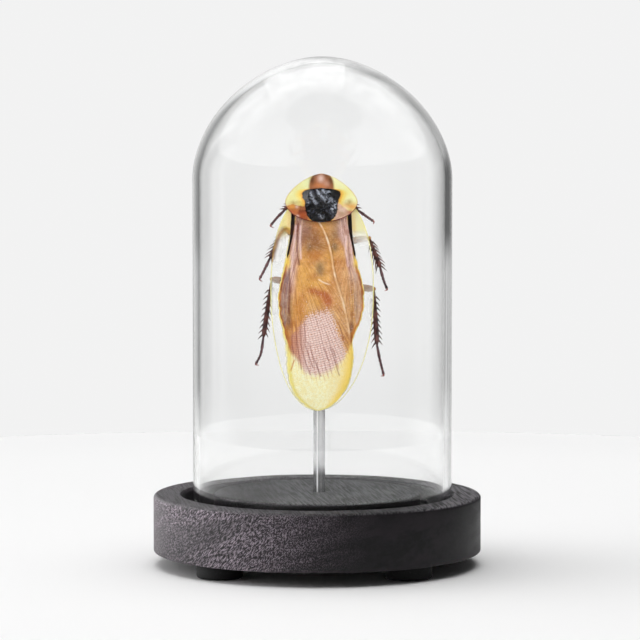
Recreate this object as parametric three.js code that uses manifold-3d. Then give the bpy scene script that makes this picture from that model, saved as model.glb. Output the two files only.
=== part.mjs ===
// A cockroach specimen mounted upright on a steel rod, under a glass dome that stands
// in the groove of a round, dark-stained wooden base with rubber feet.
// Units are millimetres, +Z is up, and the origin is under the centre of the base.
// The back of the insect faces -Y, with its head up.

import * as THREE from 'three';
import { mergeVertices } from 'three/addons/utils/BufferGeometryUtils.js';
import Module from 'manifold-3d';

const wasm = await Module();
wasm.setup();

// Driving dimensions of the stand.
const BASE_DIAMETER = 100;
const BASE_THICKNESS = 17.4;
const BASE_EDGE_ROUND = 1.2;
const FOOT_DIAMETER = 14;
const FOOT_HEIGHT = 4.3;
const FOOT_CIRCLE_RADIUS = 41;
const FOOT_ANGLES = { front_right: -48.5, back_right: 45, back_left: 135, front_left: -135 };
const GROOVE_INNER_RADIUS = 31.5;
const GROOVE_OUTER_RADIUS = 41.6;
const GROOVE_DEPTH = 5;
const PLINTH_EDGE = 0.8;
const PLINTH_RISE = 0.6;

// Driving dimensions of the glass. It stands loose in the groove, pushed to one side.
const DOME_DIAMETER = 79;
const DOME_WALL = 2;
const DOME_TOP = 154.9;
const DOME_CAP_HEIGHT = 36.9;
const DOME_CAP_POWER = 1.85;
const DOME_OFFSET_X = 1.6;

// Driving dimensions of the rod, which is drilled into the base a little off centre.
const ROD_DIAMETER = 3.4;
const ROD_OFFSET_X = 0.7;
const ROD_SOCKET_DEPTH = 10;
const ROD_TOP = 91;

// Driving dimensions of the insect, in its own frame: x across, y from the wing tips to
// the head, z from the belly to the back.
const INSECT_OFFSET_X = 1.3;
const WING_TIP_HEIGHT = 47.8;
const BELLY_OFFSET_Y = -2;
const WING_LEFT_REACH = 15.4;
const WING_RIGHT_REACH = 15.9;
const WING_WIDEST = 35.5;
const WING_BASE = 61.2;
const WING_FRONT_LENGTH = 31;
const WING_FRONT_POWER = 2.4;
const TEGMEN_THICKNESS = 0.35;
const BASE_OVERLAP = 2.2;
const HINDWING_HALF_WIDTH = 9.5;
const HINDWING_TIP_LENGTH = 15.4;
const HINDWING_BASE = 56;
const HINDWING_THICKNESS = 0.5;
const LAYER_GAP = 0.3;
const BACK_SIDE_DROP = 3.2;
const TIP_LEAN = -0.9;
const TIP_LEAN_LENGTH = 28;
const PRONOTUM_HALF_WIDTH = 10.85;
const PRONOTUM_WIDEST = 63.5;
const PRONOTUM_FRONT = 71.8;
const PRONOTUM_REAR = 57.3;
const PRONOTUM_THICKNESS = 0.7;
const PRONOTUM_FRONT_POWER = 1.5;

// Working sizes that follow from the driving dimensions.
const CLEARANCE = 0.3;
const CONTACT = 0.05;
const ROUND_STEPS = 48;
const BASE_RADIUS = BASE_DIAMETER / 2;
const BASE_BOTTOM = FOOT_HEIGHT;
const BASE_TOP = BASE_BOTTOM + BASE_THICKNESS;
const GROOVE_FLOOR = BASE_TOP - GROOVE_DEPTH;
const PLINTH_TOP = BASE_TOP + PLINTH_RISE;
const ROD_RADIUS = ROD_DIAMETER / 2;
const BACK_HALF_WIDTH = (WING_LEFT_REACH + WING_RIGHT_REACH) / 2;

const MATERIALS = {
  wood: new THREE.MeshStandardMaterial({ color: 0x2e2a2f, roughness: 0.75, metalness: 0 }),
  rubber: new THREE.MeshStandardMaterial({ color: 0x121212, roughness: 0.9, metalness: 0 }),
  glass: new THREE.MeshStandardMaterial({
    color: 0xeef2f1, roughness: 0.02, metalness: 0, transparent: true, opacity: 0.2,
  }),
  steel: new THREE.MeshStandardMaterial({ color: 0xb9babb, roughness: 0.25, metalness: 1 }),
  shield: new THREE.MeshStandardMaterial({ color: 0xd9a437, roughness: 0.35, metalness: 0 }),
  tegmen: new THREE.MeshStandardMaterial({ color: 0xd8b26a, roughness: 0.4, metalness: 0 }),
  hindwing: new THREE.MeshStandardMaterial({ color: 0xa8642f, roughness: 0.5, metalness: 0 }),
  cuticle: new THREE.MeshStandardMaterial({ color: 0x7a431f, roughness: 0.45, metalness: 0 }),
  limb: new THREE.MeshStandardMaterial({ color: 0x2c1614, roughness: 0.45, metalness: 0 }),
};

// Solids and geometry

// A closed geometry as a solid that can be joined or cut.
function toSolid(geometry) {
  const bare = geometry.clone();
  bare.deleteAttribute('normal');
  bare.deleteAttribute('uv');
  const merged = mergeVertices(bare, 1e-4);
  return new wasm.Manifold(new wasm.Mesh({
    numProp: 3,
    vertProperties: new Float32Array(merged.getAttribute('position').array),
    triVerts: new Uint32Array(merged.index.array),
  }));
}

function toGeometry(solid) {
  const mesh = solid.getMesh();
  const geometry = new THREE.BufferGeometry();
  geometry.setAttribute('position', new THREE.BufferAttribute(mesh.vertProperties, 3));
  geometry.setIndex(new THREE.BufferAttribute(mesh.triVerts, 1));
  geometry.computeVertexNormals();
  return geometry;
}

function joined(geometries) {
  return toGeometry(geometries.map(toSolid).reduce((whole, next) => whole.add(next)));
}

function named(name, geometry, material) {
  const mesh = new THREE.Mesh(geometry, material);
  mesh.name = name;
  return mesh;
}

// A closed skin through rings of equally many points, with a fan at each end.
function loft(rings) {
  const count = rings[0].length;
  const points = rings.flat();
  const faces = [];
  for (let r = 0; r + 1 < rings.length; r += 1) {
    for (let i = 0; i < count; i += 1) {
      const a = r * count + i;
      const b = r * count + (i + 1) % count;
      faces.push(a, b, a + count, b, b + count, a + count);
    }
  }
  const middle = (ring) => ring
    .reduce((sum, p) => sum.add(p), new THREE.Vector3())
    .divideScalar(count);
  const last = (rings.length - 1) * count;
  const startHub = points.push(middle(rings[0])) - 1;
  const endHub = points.push(middle(rings.at(-1))) - 1;
  for (let i = 0; i < count; i += 1) {
    const next = (i + 1) % count;
    faces.push(startHub, next, i, endHub, last + i, last + next);
  }
  const geometry = new THREE.BufferGeometry().setFromPoints(points);
  geometry.setIndex(faces);
  geometry.computeVertexNormals();
  return geometry;
}

// A surface of revolution about +Z from [radius, height] pairs, listed from the bottom up outside.
function turned(profile, steps = ROUND_STEPS) {
  const outline = profile.map(([radius, height]) => new THREE.Vector2(radius, height));
  return new THREE.LatheGeometry(outline, steps).rotateX(Math.PI / 2);
}

// A smooth value along a length, through [place, value] stations in rising order.
function profile(stations) {
  const places = stations.map(([place]) => place);
  const values = stations.map(([, value]) => value);
  const curve = new THREE.CubicInterpolant(places, values, 1, new Float32Array(1));
  return (place) => curve.evaluate(place)[0];
}

// Places from start to end, closer together towards the start, where an outline is round.
function placesFrom(start, end, count) {
  return Array.from({ length: count }, (_, i) => {
    const t = i / (count - 1);
    return start + (end - start) * (0.35 * t + 0.65 * t * t);
  });
}

// Stand

function woodBase() {
  const chamfer = BASE_EDGE_ROUND * 0.3;
  const outline = [
    [0, BASE_BOTTOM],
    [BASE_RADIUS - BASE_EDGE_ROUND, BASE_BOTTOM],
    [BASE_RADIUS - chamfer, BASE_BOTTOM + chamfer],
    [BASE_RADIUS, BASE_BOTTOM + BASE_EDGE_ROUND],
    [BASE_RADIUS, BASE_TOP - BASE_EDGE_ROUND],
    [BASE_RADIUS - chamfer, BASE_TOP - chamfer],
    [BASE_RADIUS - BASE_EDGE_ROUND, BASE_TOP],
    [GROOVE_OUTER_RADIUS, BASE_TOP],
    [GROOVE_OUTER_RADIUS, GROOVE_FLOOR],
    [GROOVE_INNER_RADIUS, GROOVE_FLOOR],
    [GROOVE_INNER_RADIUS, PLINTH_TOP - PLINTH_EDGE],
    [GROOVE_INNER_RADIUS - PLINTH_EDGE, PLINTH_TOP],
    [0, PLINTH_TOP],
  ];
  const socketRadius = ROD_RADIUS + CLEARANCE;
  const socketLength = ROD_SOCKET_DEPTH + CLEARANCE;
  const socket = new THREE.CylinderGeometry(socketRadius, socketRadius, 2 * socketLength, 24)
    .rotateX(Math.PI / 2)
    .translate(ROD_OFFSET_X, 0, PLINTH_TOP);
  return toGeometry(toSolid(turned(outline)).subtract(toSolid(socket)));
}

function rubberFoot() {
  const radius = FOOT_DIAMETER / 2;
  return turned([
    [0, 0],
    [radius - 0.8, 0],
    [radius, 0.8],
    [radius, FOOT_HEIGHT - CONTACT],
    [0, FOOT_HEIGHT - CONTACT],
  ], 24);
}

// The cap of the dome from its shoulder to its top, as a rounded, slightly pointed curve.
function capCurve(radius, height, steps) {
  return Array.from({ length: steps + 1 }, (_, i) => {
    const angle = (Math.PI / 2) * (i / steps);
    const across = Math.max(0, Math.cos(angle)) ** (2 / DOME_CAP_POWER);
    const up = Math.sin(angle) ** (2 / DOME_CAP_POWER);
    return [i === steps ? 0 : radius * across, DOME_TOP - DOME_CAP_HEIGHT + height * up];
  });
}

function glassDome() {
  const outer = DOME_DIAMETER / 2;
  const inner = outer - DOME_WALL;
  const rim = GROOVE_FLOOR + CONTACT;
  const lip = DOME_WALL / 4;
  return turned([
    ...capCurve(inner, DOME_CAP_HEIGHT - DOME_WALL, 7).reverse(),
    [inner, rim + lip],
    [inner + lip, rim],
    [outer - lip, rim],
    [outer, rim + lip],
    ...capCurve(outer, DOME_CAP_HEIGHT, 8),
  ]);
}

function steelRod() {
  const bottom = PLINTH_TOP - ROD_SOCKET_DEPTH;
  const bevel = 0.5;
  return turned([
    [0, bottom],
    [ROD_RADIUS - bevel, bottom],
    [ROD_RADIUS, bottom + bevel],
    [ROD_RADIUS, ROD_TOP - bevel],
    [ROD_RADIUS - bevel, ROD_TOP],
    [0, ROD_TOP],
  ], 16);
}

// Insect wings

const backCrown = profile([[0, 5.6], [15, 7.4], [30, 8.8], [45, 9.2], [57, 8.5], [61, 7.9]]);

// Height of the wing layers over the belly, before each layer's own offset.
function backHeight(x, y) {
  return backCrown(y) - BACK_SIDE_DROP * (x / BACK_HALF_WIDTH) ** 2;
}

function tipLean(y) {
  const t = Math.max(0, 1 - y / TIP_LEAN_LENGTH);
  return TIP_LEAN * t * t;
}

// How far a wing reaches to its side: an ellipse behind the widest place and a fuller curve before it.
function wingReach(y, side) {
  const reach = side < 0 ? WING_LEFT_REACH : WING_RIGHT_REACH;
  const behind = y < WING_WIDEST;
  const t = Math.abs(y - WING_WIDEST) / (behind ? WING_WIDEST : WING_FRONT_LENGTH);
  const power = behind ? 2 : WING_FRONT_POWER;
  return reach * Math.max(0, 1 - t ** power) ** (1 / power);
}

function roundTip(y, halfWidth) {
  const t = Math.min(1, y / HINDWING_TIP_LENGTH);
  return halfWidth * Math.sqrt(Math.max(0, 1 - (1 - t) ** 2));
}

const sutureAbove = profile([
  [15.4, 9.2], [24.6, 8.5], [33, 7], [42, 4.4], [49, 3], [54, 1.3], [57, -0.3], [60, -3],
]);

// The inner edge of a tegmen, which crosses the middle and ends on the far side of the tip.
function sutureEdge(y) {
  return y < HINDWING_TIP_LENGTH ? roundTip(y, 9.2) : sutureAbove(y);
}

// A thin curved plate between two edges, lying a given height above the wing layers.
function plate(places, edges, lift, thickness, across) {
  return loft(places.map((y) => {
    const [from, to] = edges(y);
    const lean = tipLean(y);
    const point = (t, offset) => {
      const x = from + (to - from) * t;
      return new THREE.Vector3(x + lean, y, backHeight(x, y) + lift + offset);
    };
    const lower = Array.from({ length: across + 1 }, (_, i) => point(i / across, 0));
    const upper = Array.from({ length: across + 1 }, (_, i) => point(1 - i / across, thickness));
    return [...lower, ...upper].reverse();
  }));
}

function tegmen(side) {
  const lift = side < 0 ? 0 : -TEGMEN_THICKNESS - LAYER_GAP;
  const edges = (y) => {
    const outer = wingReach(y, side);
    const inner = sutureEdge(y);
    return side < 0 ? [-outer, inner] : [-Math.max(inner, BASE_OVERLAP), outer];
  };
  return plate(placesFrom(0.15, WING_BASE, 13), edges, lift, TEGMEN_THICKNESS, 7);
}

const hindwingAbove = profile([[15.4, 9.5], [30, 9.5], [42, 9], [50, 7.6], [56, 5.2]]);

function hindwing(side) {
  const lift = -TEGMEN_THICKNESS - 3 * LAYER_GAP - HINDWING_THICKNESS;
  const edges = (y) => {
    const outer = y < HINDWING_TIP_LENGTH ? roundTip(y, HINDWING_HALF_WIDTH) : hindwingAbove(y);
    const inner = CLEARANCE / 2;
    return side < 0 ? [-outer - inner, -inner] : [inner, outer + inner];
  };
  return plate(placesFrom(0.3, HINDWING_BASE, 11), edges, lift, HINDWING_THICKNESS, 5);
}

// Insect body

// The shield over the head and the front of the thorax, a shallow bowl with thin flared sides.
const shieldCrown = profile([[57.3, 10.3], [60, 11.3], [63.5, 11.7], [67, 10.7], [70, 9], [71.9, 7.4]]);
const shieldEdge = profile([
  [57.3, 10.1], [59, 9.4], [61, 8.5], [63.5, 7.8], [67, 7], [70, 6.9], [71.9, 7.2],
]);

function shieldHalfWidth(y) {
  if (y < PRONOTUM_WIDEST) {
    const t = (PRONOTUM_WIDEST - y) / (PRONOTUM_WIDEST - PRONOTUM_REAR);
    return PRONOTUM_HALF_WIDTH * Math.sqrt(Math.max(0, 1 - t * t));
  }
  const t = (y - PRONOTUM_WIDEST) / (PRONOTUM_FRONT - PRONOTUM_WIDEST);
  return PRONOTUM_HALF_WIDTH * Math.max(0, 1 - t ** PRONOTUM_FRONT_POWER) ** (1 / PRONOTUM_FRONT_POWER);
}

function pronotum() {
  const count = 12;
  const across = 8;
  const rings = Array.from({ length: count }, (_, i) => {
    const turn = Math.cos(Math.PI * (1 - (i + 0.35) / (count - 0.3)));
    const y = (PRONOTUM_FRONT + PRONOTUM_REAR) / 2 + turn * (PRONOTUM_FRONT - PRONOTUM_REAR) / 2;
    const half = shieldHalfWidth(y);
    const point = (t, drop) => {
      const bulge = (1 - t * t) ** 1.4;
      const z = shieldEdge(y) + (shieldCrown(y) - shieldEdge(y)) * bulge;
      return new THREE.Vector3(half * t, y, z - drop);
    };
    const upper = Array.from({ length: across + 1 }, (_, k) => point(1 - 2 * k / across, 0));
    const lower = Array.from({ length: across + 1 }, (_, k) => {
      return point(2 * k / across - 1, PRONOTUM_THICKNESS);
    });
    return [...lower, ...upper].reverse();
  });
  return loft(rings);
}

const bodyHalfWidth = profile([
  [15, 3.4], [17, 7], [20, 9.6], [24, 11.3], [28.4, 12.2], [33, 12.6], [37.5, 12.3],
  [42, 11], [46, 9.8], [52, 8.4], [58, 6.4], [63, 4],
]);
const bodyTop = profile([[15, 3.6], [20, 4.8], [30, 6.1], [45, 6.6], [57, 6.2], [63, 6]]);
const bodyBottom = profile([[15, 2.2], [20, 0.9], [30, 0.2], [45, 0], [57, 0], [63, 1]]);
const ABDOMEN_START = 15;
const ABDOMEN_END = 45;
const ABDOMEN_SEGMENTS = 7;
const SEGMENT_STEP = 0.3;

// Thorax and abdomen in one piece: seven overlapping belly rings, then a smooth thorax.
function body() {
  const sides = 16;
  const length = (ABDOMEN_END - ABDOMEN_START) / ABDOMEN_SEGMENTS;
  const stations = [];
  for (let i = 0; i < ABDOMEN_SEGMENTS; i += 1) {
    const start = ABDOMEN_START + i * length;
    stations.push([start, 0], [start + length * 0.9, -SEGMENT_STEP]);
  }
  stations.push([ABDOMEN_END, 0], [51, 0], [57, 0], [63, 0]);
  return loft(stations.map(([y, step]) => Array.from({ length: sides }, (_, i) => {
    const angle = (2 * Math.PI * i) / sides;
    const half = bodyHalfWidth(y) + step;
    const top = bodyTop(y) + step;
    const bottom = bodyBottom(y) - step;
    const rim = bottom + (top - bottom) * 0.45;
    const reach = Math.sin(angle) > 0 ? top - rim : rim - bottom;
    return new THREE.Vector3(half * Math.cos(angle), y, rim + reach * Math.sin(angle));
  }).reverse()));
}

function ball(radii, place, across = 8, down = 6) {
  return new THREE.SphereGeometry(1, across, down).scale(...radii).translate(...place);
}

// The head hangs under the shield with its face towards the belly.
function head() {
  const eye = [0.9, 1.9, 1.5];
  return joined([
    ball([3.4, 3.7, 4.2], [0, 67.2, 2.9], 14, 9),
    ball(eye, [-2.9, 68.2, 2.4]),
    ball(eye, [2.9, 68.2, 2.4]),
    ball([1.7, 1.9, 1.8], [0, 65.9, -0.9]),
  ]);
}

// Insect limbs

// A tapered limb along a path, with a radius at each point, optionally flattened back to belly.
function limb(path, radii, sides = 6, flatness = 1) {
  const points = path.map((p) => new THREE.Vector3(...p));
  let across = new THREE.Vector3(0, 0, 1);
  const rings = points.map((point, i) => {
    const before = points[Math.max(0, i - 1)];
    const after = points[Math.min(points.length - 1, i + 1)];
    const along = after.clone().sub(before).normalize();
    const flat = across.clone().addScaledVector(along, -across.dot(along)).normalize();
    const wide = new THREE.Vector3().crossVectors(along, flat);
    across = flat;
    return Array.from({ length: sides }, (_, k) => {
      const angle = (2 * Math.PI * k) / sides;
      return point.clone()
        .addScaledVector(wide, radii[i] * Math.cos(angle))
        .addScaledVector(flat, -radii[i] * flatness * Math.sin(angle));
    });
  });
  return loft(rings);
}

// Stiff spines in two rows along a shin, leaning towards the foot.
function spines(knee, ankle, count, length) {
  const from = new THREE.Vector3(...knee);
  const along = new THREE.Vector3(...ankle).sub(from);
  const direction = along.clone().normalize();
  const sideways = new THREE.Vector3(direction.y, -direction.x, 0).normalize();
  return Array.from({ length: count }, (_, i) => {
    const side = i % 2 ? 1 : -1;
    const lean = sideways.clone().multiplyScalar(side).addScaledVector(direction, 0.9)
      .add(new THREE.Vector3(0, 0, i % 4 < 2 ? 0.3 : -0.3)).normalize();
    const root = from.clone().addScaledVector(along, 0.25 + 0.72 * (i / (count - 1)));
    const turn = new THREE.Quaternion().setFromUnitVectors(new THREE.Vector3(0, 1, 0), lean);
    return new THREE.ConeGeometry(0.2, length, 4)
      .translate(0, length / 2, 0)
      .applyQuaternion(turn)
      .translate(root.x, root.y, root.z);
  });
}

// Each leg from its root on the thorax to its claw: hip, trochanter, knee, ankle and toes.
const LEGS = {
  left_front_leg: {
    hip: [-3.9, 61.5, -0.9], trochanter: [-4.9, 57.4, -1.2], knee: [-8.4, 63.8, 1.2],
    ankle: [-11.1, 60.6, 1.4], toes: [[-13.5, 58.2, 1.2], [-15.1, 56.3, 0.9], [-14.4, 55.2, 0.5]],
    thickness: 0.85, spineCount: 5,
  },
  right_front_leg: {
    hip: [3.9, 61.5, -0.9], trochanter: [4.9, 57.4, -1.2], knee: [8.2, 64, 1.2],
    ankle: [11, 60.6, 1.4], toes: [[13.9, 58.5, 1.2], [15.5, 57.4, 0.9], [15.7, 56.3, 0.5]],
    thickness: 0.85, spineCount: 5,
  },
  left_middle_leg: {
    hip: [-3.9, 54.4, -1.3], trochanter: [-5.8, 50.6, -1.4], knee: [-10.9, 55.2, 1.6],
    ankle: [-15.6, 46, 2], toes: [[-17.6, 42, 1.6], [-18.6, 40.2, 1.2], [-18, 38.9, 0.8]],
    thickness: 1, spineCount: 9,
  },
  right_middle_leg: {
    hip: [3.9, 54.4, -1.3], trochanter: [5.8, 50.6, -1.4], knee: [14.5, 52.2, 1.6],
    ankle: [17.8, 43.2, 2], toes: [[19, 39, 1.6], [19.8, 37, 1.2], [19.2, 36.1, 0.8]],
    thickness: 1, spineCount: 9,
  },
  left_hind_leg: {
    hip: [-4, 47, -1.3], trochanter: [-6.2, 38.2, -1.3], knee: [-15, 39.7, 1.2],
    ankle: [-17.7, 21.9, 1.5], toes: [[-18.9, 16.1, 1.1], [-20, 14.2, 0.8], [-19.3, 13.4, 0.4]],
    thickness: 1.1, spineCount: 12,
  },
  right_hind_leg: {
    hip: [4, 47, -1.3], trochanter: [6.2, 37.6, -1.3], knee: [15.9, 36.7, 1.2],
    ankle: [16.9, 19.6, 1.5], toes: [[17.8, 15.1, 1.1], [18.9, 10.8, 0.8], [18.1, 10.1, 0.4]],
    thickness: 1.1, spineCount: 12,
  },
};
const SPINE_LENGTH = 2.1;

function between(a, b, t) {
  return a.map((value, i) => value + (b[i] - value) * t);
}

function leg({ hip, trochanter, knee, ankle, toes, thickness, spineCount }) {
  const coxa = limb(
    [hip, between(hip, trochanter, 0.4), trochanter],
    [thickness, thickness * 1.2, thickness * 0.7],
    8,
    0.62,
  );
  const femur = limb(
    [trochanter, between(trochanter, knee, 0.35), between(trochanter, knee, 0.8), knee],
    [thickness * 0.65, thickness, thickness * 0.8, thickness * 0.55],
    8,
    0.7,
  );
  const tibia = limb(
    [knee, between(knee, ankle, 0.3), between(knee, ankle, 0.85), ankle],
    [thickness * 0.5, thickness * 0.62, thickness * 0.66, thickness * 0.5],
  );
  const tarsus = limb(
    [ankle, between(ankle, toes[0], 0.6), ...toes],
    [0.42, 0.3, 0.32, 0.26, 0.08],
    5,
  );
  return joined([coxa, femur, tibia, tarsus, ...spines(knee, ankle, spineCount, SPINE_LENGTH)]);
}

// A feeler swept back under the body, out of sight from the front.
function antenna(side) {
  const path = [
    [1.5, 68.6, -1.3], [2.4, 67, -2.6], [3.8, 60, -3], [5.2, 52, -3.1],
    [6.6, 44, -3], [7.6, 36, -2.7], [7.2, 28, -1.7], [5.6, 20, -0.8],
  ].map(([x, y, z]) => [side * x, y, z]);
  return limb(path, [0.34, 0.3, 0.28, 0.26, 0.24, 0.22, 0.2, 0.15], 5);
}

function insect() {
  const group = new THREE.Group();
  group.add(
    named('body', body(), MATERIALS.cuticle),
    named('head', head(), MATERIALS.cuticle),
    named('pronotum', pronotum(), MATERIALS.shield),
    named('left_tegmen', tegmen(-1), MATERIALS.tegmen),
    named('right_tegmen', tegmen(1), MATERIALS.tegmen),
    named('left_hindwing', hindwing(-1), MATERIALS.hindwing),
    named('right_hindwing', hindwing(1), MATERIALS.hindwing),
    named('left_antenna', antenna(-1), MATERIALS.limb),
    named('right_antenna', antenna(1), MATERIALS.limb),
  );
  for (const [name, joints] of Object.entries(LEGS)) {
    group.add(named(name, leg(joints), MATERIALS.limb));
  }
  group.rotation.x = Math.PI / 2;
  group.position.set(INSECT_OFFSET_X, BELLY_OFFSET_Y, WING_TIP_HEIGHT);
  return group;
}

// Whole object

function stand() {
  const group = new THREE.Group();
  const dome = named('glass_dome', glassDome(), MATERIALS.glass);
  dome.position.x = DOME_OFFSET_X;
  const rod = named('steel_rod', steelRod(), MATERIALS.steel);
  rod.position.x = ROD_OFFSET_X;
  group.add(named('wood_base', woodBase(), MATERIALS.wood), dome, rod);
  for (const [corner, degrees] of Object.entries(FOOT_ANGLES)) {
    const angle = THREE.MathUtils.degToRad(degrees);
    const foot = named(`foot_${corner}`, rubberFoot(), MATERIALS.rubber);
    foot.position.set(FOOT_CIRCLE_RADIUS * Math.cos(angle), FOOT_CIRCLE_RADIUS * Math.sin(angle), 0);
    group.add(foot);
  }
  return group;
}

const specimen = new THREE.Group();
specimen.add(stand(), insect());

export default specimen;
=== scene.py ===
"""Looks of a cockroach specimen on a steel rod, under a glass dome on a dark wood base."""
import math
from types import SimpleNamespace

import bpy
import numpy as np
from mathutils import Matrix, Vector


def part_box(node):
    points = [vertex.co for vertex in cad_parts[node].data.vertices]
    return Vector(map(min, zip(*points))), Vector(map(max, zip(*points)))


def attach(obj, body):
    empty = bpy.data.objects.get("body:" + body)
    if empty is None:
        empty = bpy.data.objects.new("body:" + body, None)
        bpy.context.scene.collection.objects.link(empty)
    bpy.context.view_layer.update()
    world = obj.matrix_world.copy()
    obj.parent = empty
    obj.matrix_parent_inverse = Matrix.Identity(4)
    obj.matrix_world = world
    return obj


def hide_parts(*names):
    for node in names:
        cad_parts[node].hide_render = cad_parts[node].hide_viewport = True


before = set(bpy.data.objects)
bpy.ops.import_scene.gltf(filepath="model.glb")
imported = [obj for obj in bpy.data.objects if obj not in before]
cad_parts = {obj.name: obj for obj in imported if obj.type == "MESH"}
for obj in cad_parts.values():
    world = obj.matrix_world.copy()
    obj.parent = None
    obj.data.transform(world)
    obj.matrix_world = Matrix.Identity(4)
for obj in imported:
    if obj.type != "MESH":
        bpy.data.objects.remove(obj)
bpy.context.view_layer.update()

# Sizes are in millimetres, in the row frame or in the insect's own frame, and become metres
# when a mesh is made. The stand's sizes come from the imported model.
MM = 0.001


def node_box(name):
    low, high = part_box(name)
    return np.array(low) / MM, np.array(high) / MM


BASE_LOW, BASE_HIGH = node_box("wood_base")
DOME_LOW, DOME_HIGH = node_box("glass_dome")
ROD_LOW, ROD_HIGH = node_box("steel_rod")
FEET = [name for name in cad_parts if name.startswith("foot_")]

BASE_RADIUS = (BASE_HIGH[0] - BASE_LOW[0]) / 2
PLINTH_RISE, PLINTH_EDGE, PLINTH_HOLD = 0.6, 0.9, 1.5
BASE_BOTTOM, BASE_TOP, PLINTH_TOP = BASE_LOW[2], BASE_HIGH[2] - PLINTH_RISE, BASE_HIGH[2]
BASE_EDGE, BASE_LOW_EDGE, BASE_HOLD, BASE_INNER = 1.2, 0.5, 2.0, 20
GROOVE_INNER, GROOVE_OUTER, GROOVE_DEPTH = 31.5, 41.6, 5.0
GROOVE_CORNER, GROOVE_LIP = 0.4, 0.5
DOME_X = (DOME_LOW[0] + DOME_HIGH[0]) / 2
DOME_RADIUS = (DOME_HIGH[0] - DOME_LOW[0]) / 2
DOME_RIM, DOME_TOP = DOME_LOW[2], DOME_HIGH[2]
DOME_WALL, DOME_CAP, DOME_POWER = 2.0, 36.9, 1.85
UNEVEN, UNEVEN_WAVE, UNEVEN_RISE, UNEVEN_ROUND, UNEVEN_FADE, UNEVEN_SEED = 0.10, 26, 23, 30, 20, 5
ROD_X = (ROD_LOW[0] + ROD_HIGH[0]) / 2
ROD_RADIUS = (ROD_HIGH[0] - ROD_LOW[0]) / 2
ROD_BOTTOM, ROD_TOP, ROD_BEVEL = ROD_LOW[2], ROD_HIGH[2], 0.4
SOCKET_GAP, SOCKET_CHAMFER, SOCKET_FLOOR = 0.25, 0.25, 0.3
FOOT_LOW_EDGE, FOOT_TOP_EDGE = 1.1, 0.4
# The dish under a foot, as shares of its radius and heights.
FOOT_DISH = ((0.0, 0.25), (0.55, 0.2), (0.62, 0.0))
# Rings of the plinth's top, which move from the rod's axis to that of the base.
PLINTH_RINGS, CENTRED_FROM = (4, 7, 12, 18, 24), 12
# A turned outline starts and ends this near to its axis.
HUB = 0.02
ROUND_STEPS, FOOT_STEPS, ROD_STEPS, FLOOR_STEPS = 192, 64, 48, 96
RIPPLE_WAVES = 16

# The insect's own frame: x across, y from the wing tips to the head, z from belly to back.
INSECT_X, BELLY_Y, WING_TIP_Z = 1.3, -2.0, 47.8
WING_LEFT, WING_RIGHT, WING_WIDEST, WING_BASE = 15.4, 15.9, 35.5, 61.2
WING_FRONT, WING_FRONT_POWER = 31.0, 2.4
BACK_HALF = (WING_LEFT + WING_RIGHT) / 2
TEGMEN_THICK, HINDWING_THICK, LAYER_GAP = 0.35, 0.5, 0.3
TIP_LENGTH, TIP_HALF, SUTURE_HALF, SIDE_DROP = 15.4, 9.5, 9.2, 3.2
TIP_LEAN, TIP_LEAN_LENGTH = -0.9, 28.0
PLEAT_STEP, HIND_PLEAT_STEP = 1.6, 1.1
SHIELD_HALF, SHIELD_WIDEST, SHIELD_FRONT, SHIELD_REAR = 10.85, 63.5, 71.8, 57.3
SHIELD_THICK, SHIELD_POWER = 0.7, 1.5

# The camera that took the photograph, found from the outlines of the base and the glass.
CAMERA_X, CAMERA_Y, CAMERA_Z = 0.87, -1000.0, 147.16
CAMERA_PITCH = 4.141
SENSOR_MM, LENS_MM = 36.0, 185.03

# The stage, in metres and in shades of grey.
FLOOR_EDGE, FLOOR_FADE, FLOOR_SHADES, EDGE_SHADE = 0.385, 0.12, (0.86, 0.89), 0.85
WINDOW_PLACE, WINDOW_SIZE, WINDOW_RADIANCE = (-0.19, 0.90, 1.15), (0.82, 1.24), 0.45
WALL, WALL_BEHIND_GLASS, WALL_FOOT, TABLE = 0.89, 1.0, 0.95, 0.92
ROOM_FRONT, ROOM = 0.03, 0.85
# How many faces of the glass a ray passes on its way in and out again.
GLASS_FACES = 4
# Even light on the wood, on what stands under the glass, in its gloss and in that of the wood.
AMBIENT, INSIDE_AMBIENT, SHINE_AMBIENT, GLOSS_AMBIENT = 0.09, 0.65, 0.1, 0.05
# Brighter light, as the direction that it comes from, its focus and its strength.
OVERHEAD = ((0.0, 0.04, 1.0), 14.0, 6.7)
FROM_LEFT = ((-0.95, 0.1, 0.1), 5.0, 3.0)
FROM_FRONT = ((-0.12, -0.9, 0.37), 2.0, 2.6)
SHINE = ((-0.62, -0.55, 0.55), 30.0, 9.0)
SHEEN = ((0.35, -0.7, 0.6), 10.0, 1.5)
GLOSS = ((-0.95, 0.15, 0.15), 2.0, 5.0)
# Dark uprights in the room behind: place across, width, and their shades low, high and in the cap.
UPRIGHTS = (
    (-0.5, 0.26, 0.62, 0.4, 0.45), (-0.82, 0.08, 0.62, 0.35, 0.4), (0.55, 0.42, 0.68, 0.16, 0.5),
)


# Curves and fields

def curve(stations):
    """A smooth function through (place, value) stations in rising order."""
    places, values = np.array(stations, float).T
    slopes = np.gradient(values, places)

    def at(place):
        place = np.clip(place, places[0], places[-1])
        i = np.clip(np.searchsorted(places, place) - 1, 0, len(places) - 2)
        width = places[i + 1] - places[i]
        t = (place - places[i]) / width
        start = values[i] * (1 + 2 * t) + slopes[i] * width * t
        end = values[i + 1] * (3 - 2 * t) - slopes[i + 1] * width * (1 - t)
        return start * (1 - t) ** 2 + end * t * t

    return at


def step(low, high, value):
    """0 below low, 1 above high, and a smooth rise between them; low may be the larger."""
    t = np.clip((value - low) / (high - low), 0, 1)
    return t * t * (3 - 2 * t)


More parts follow.
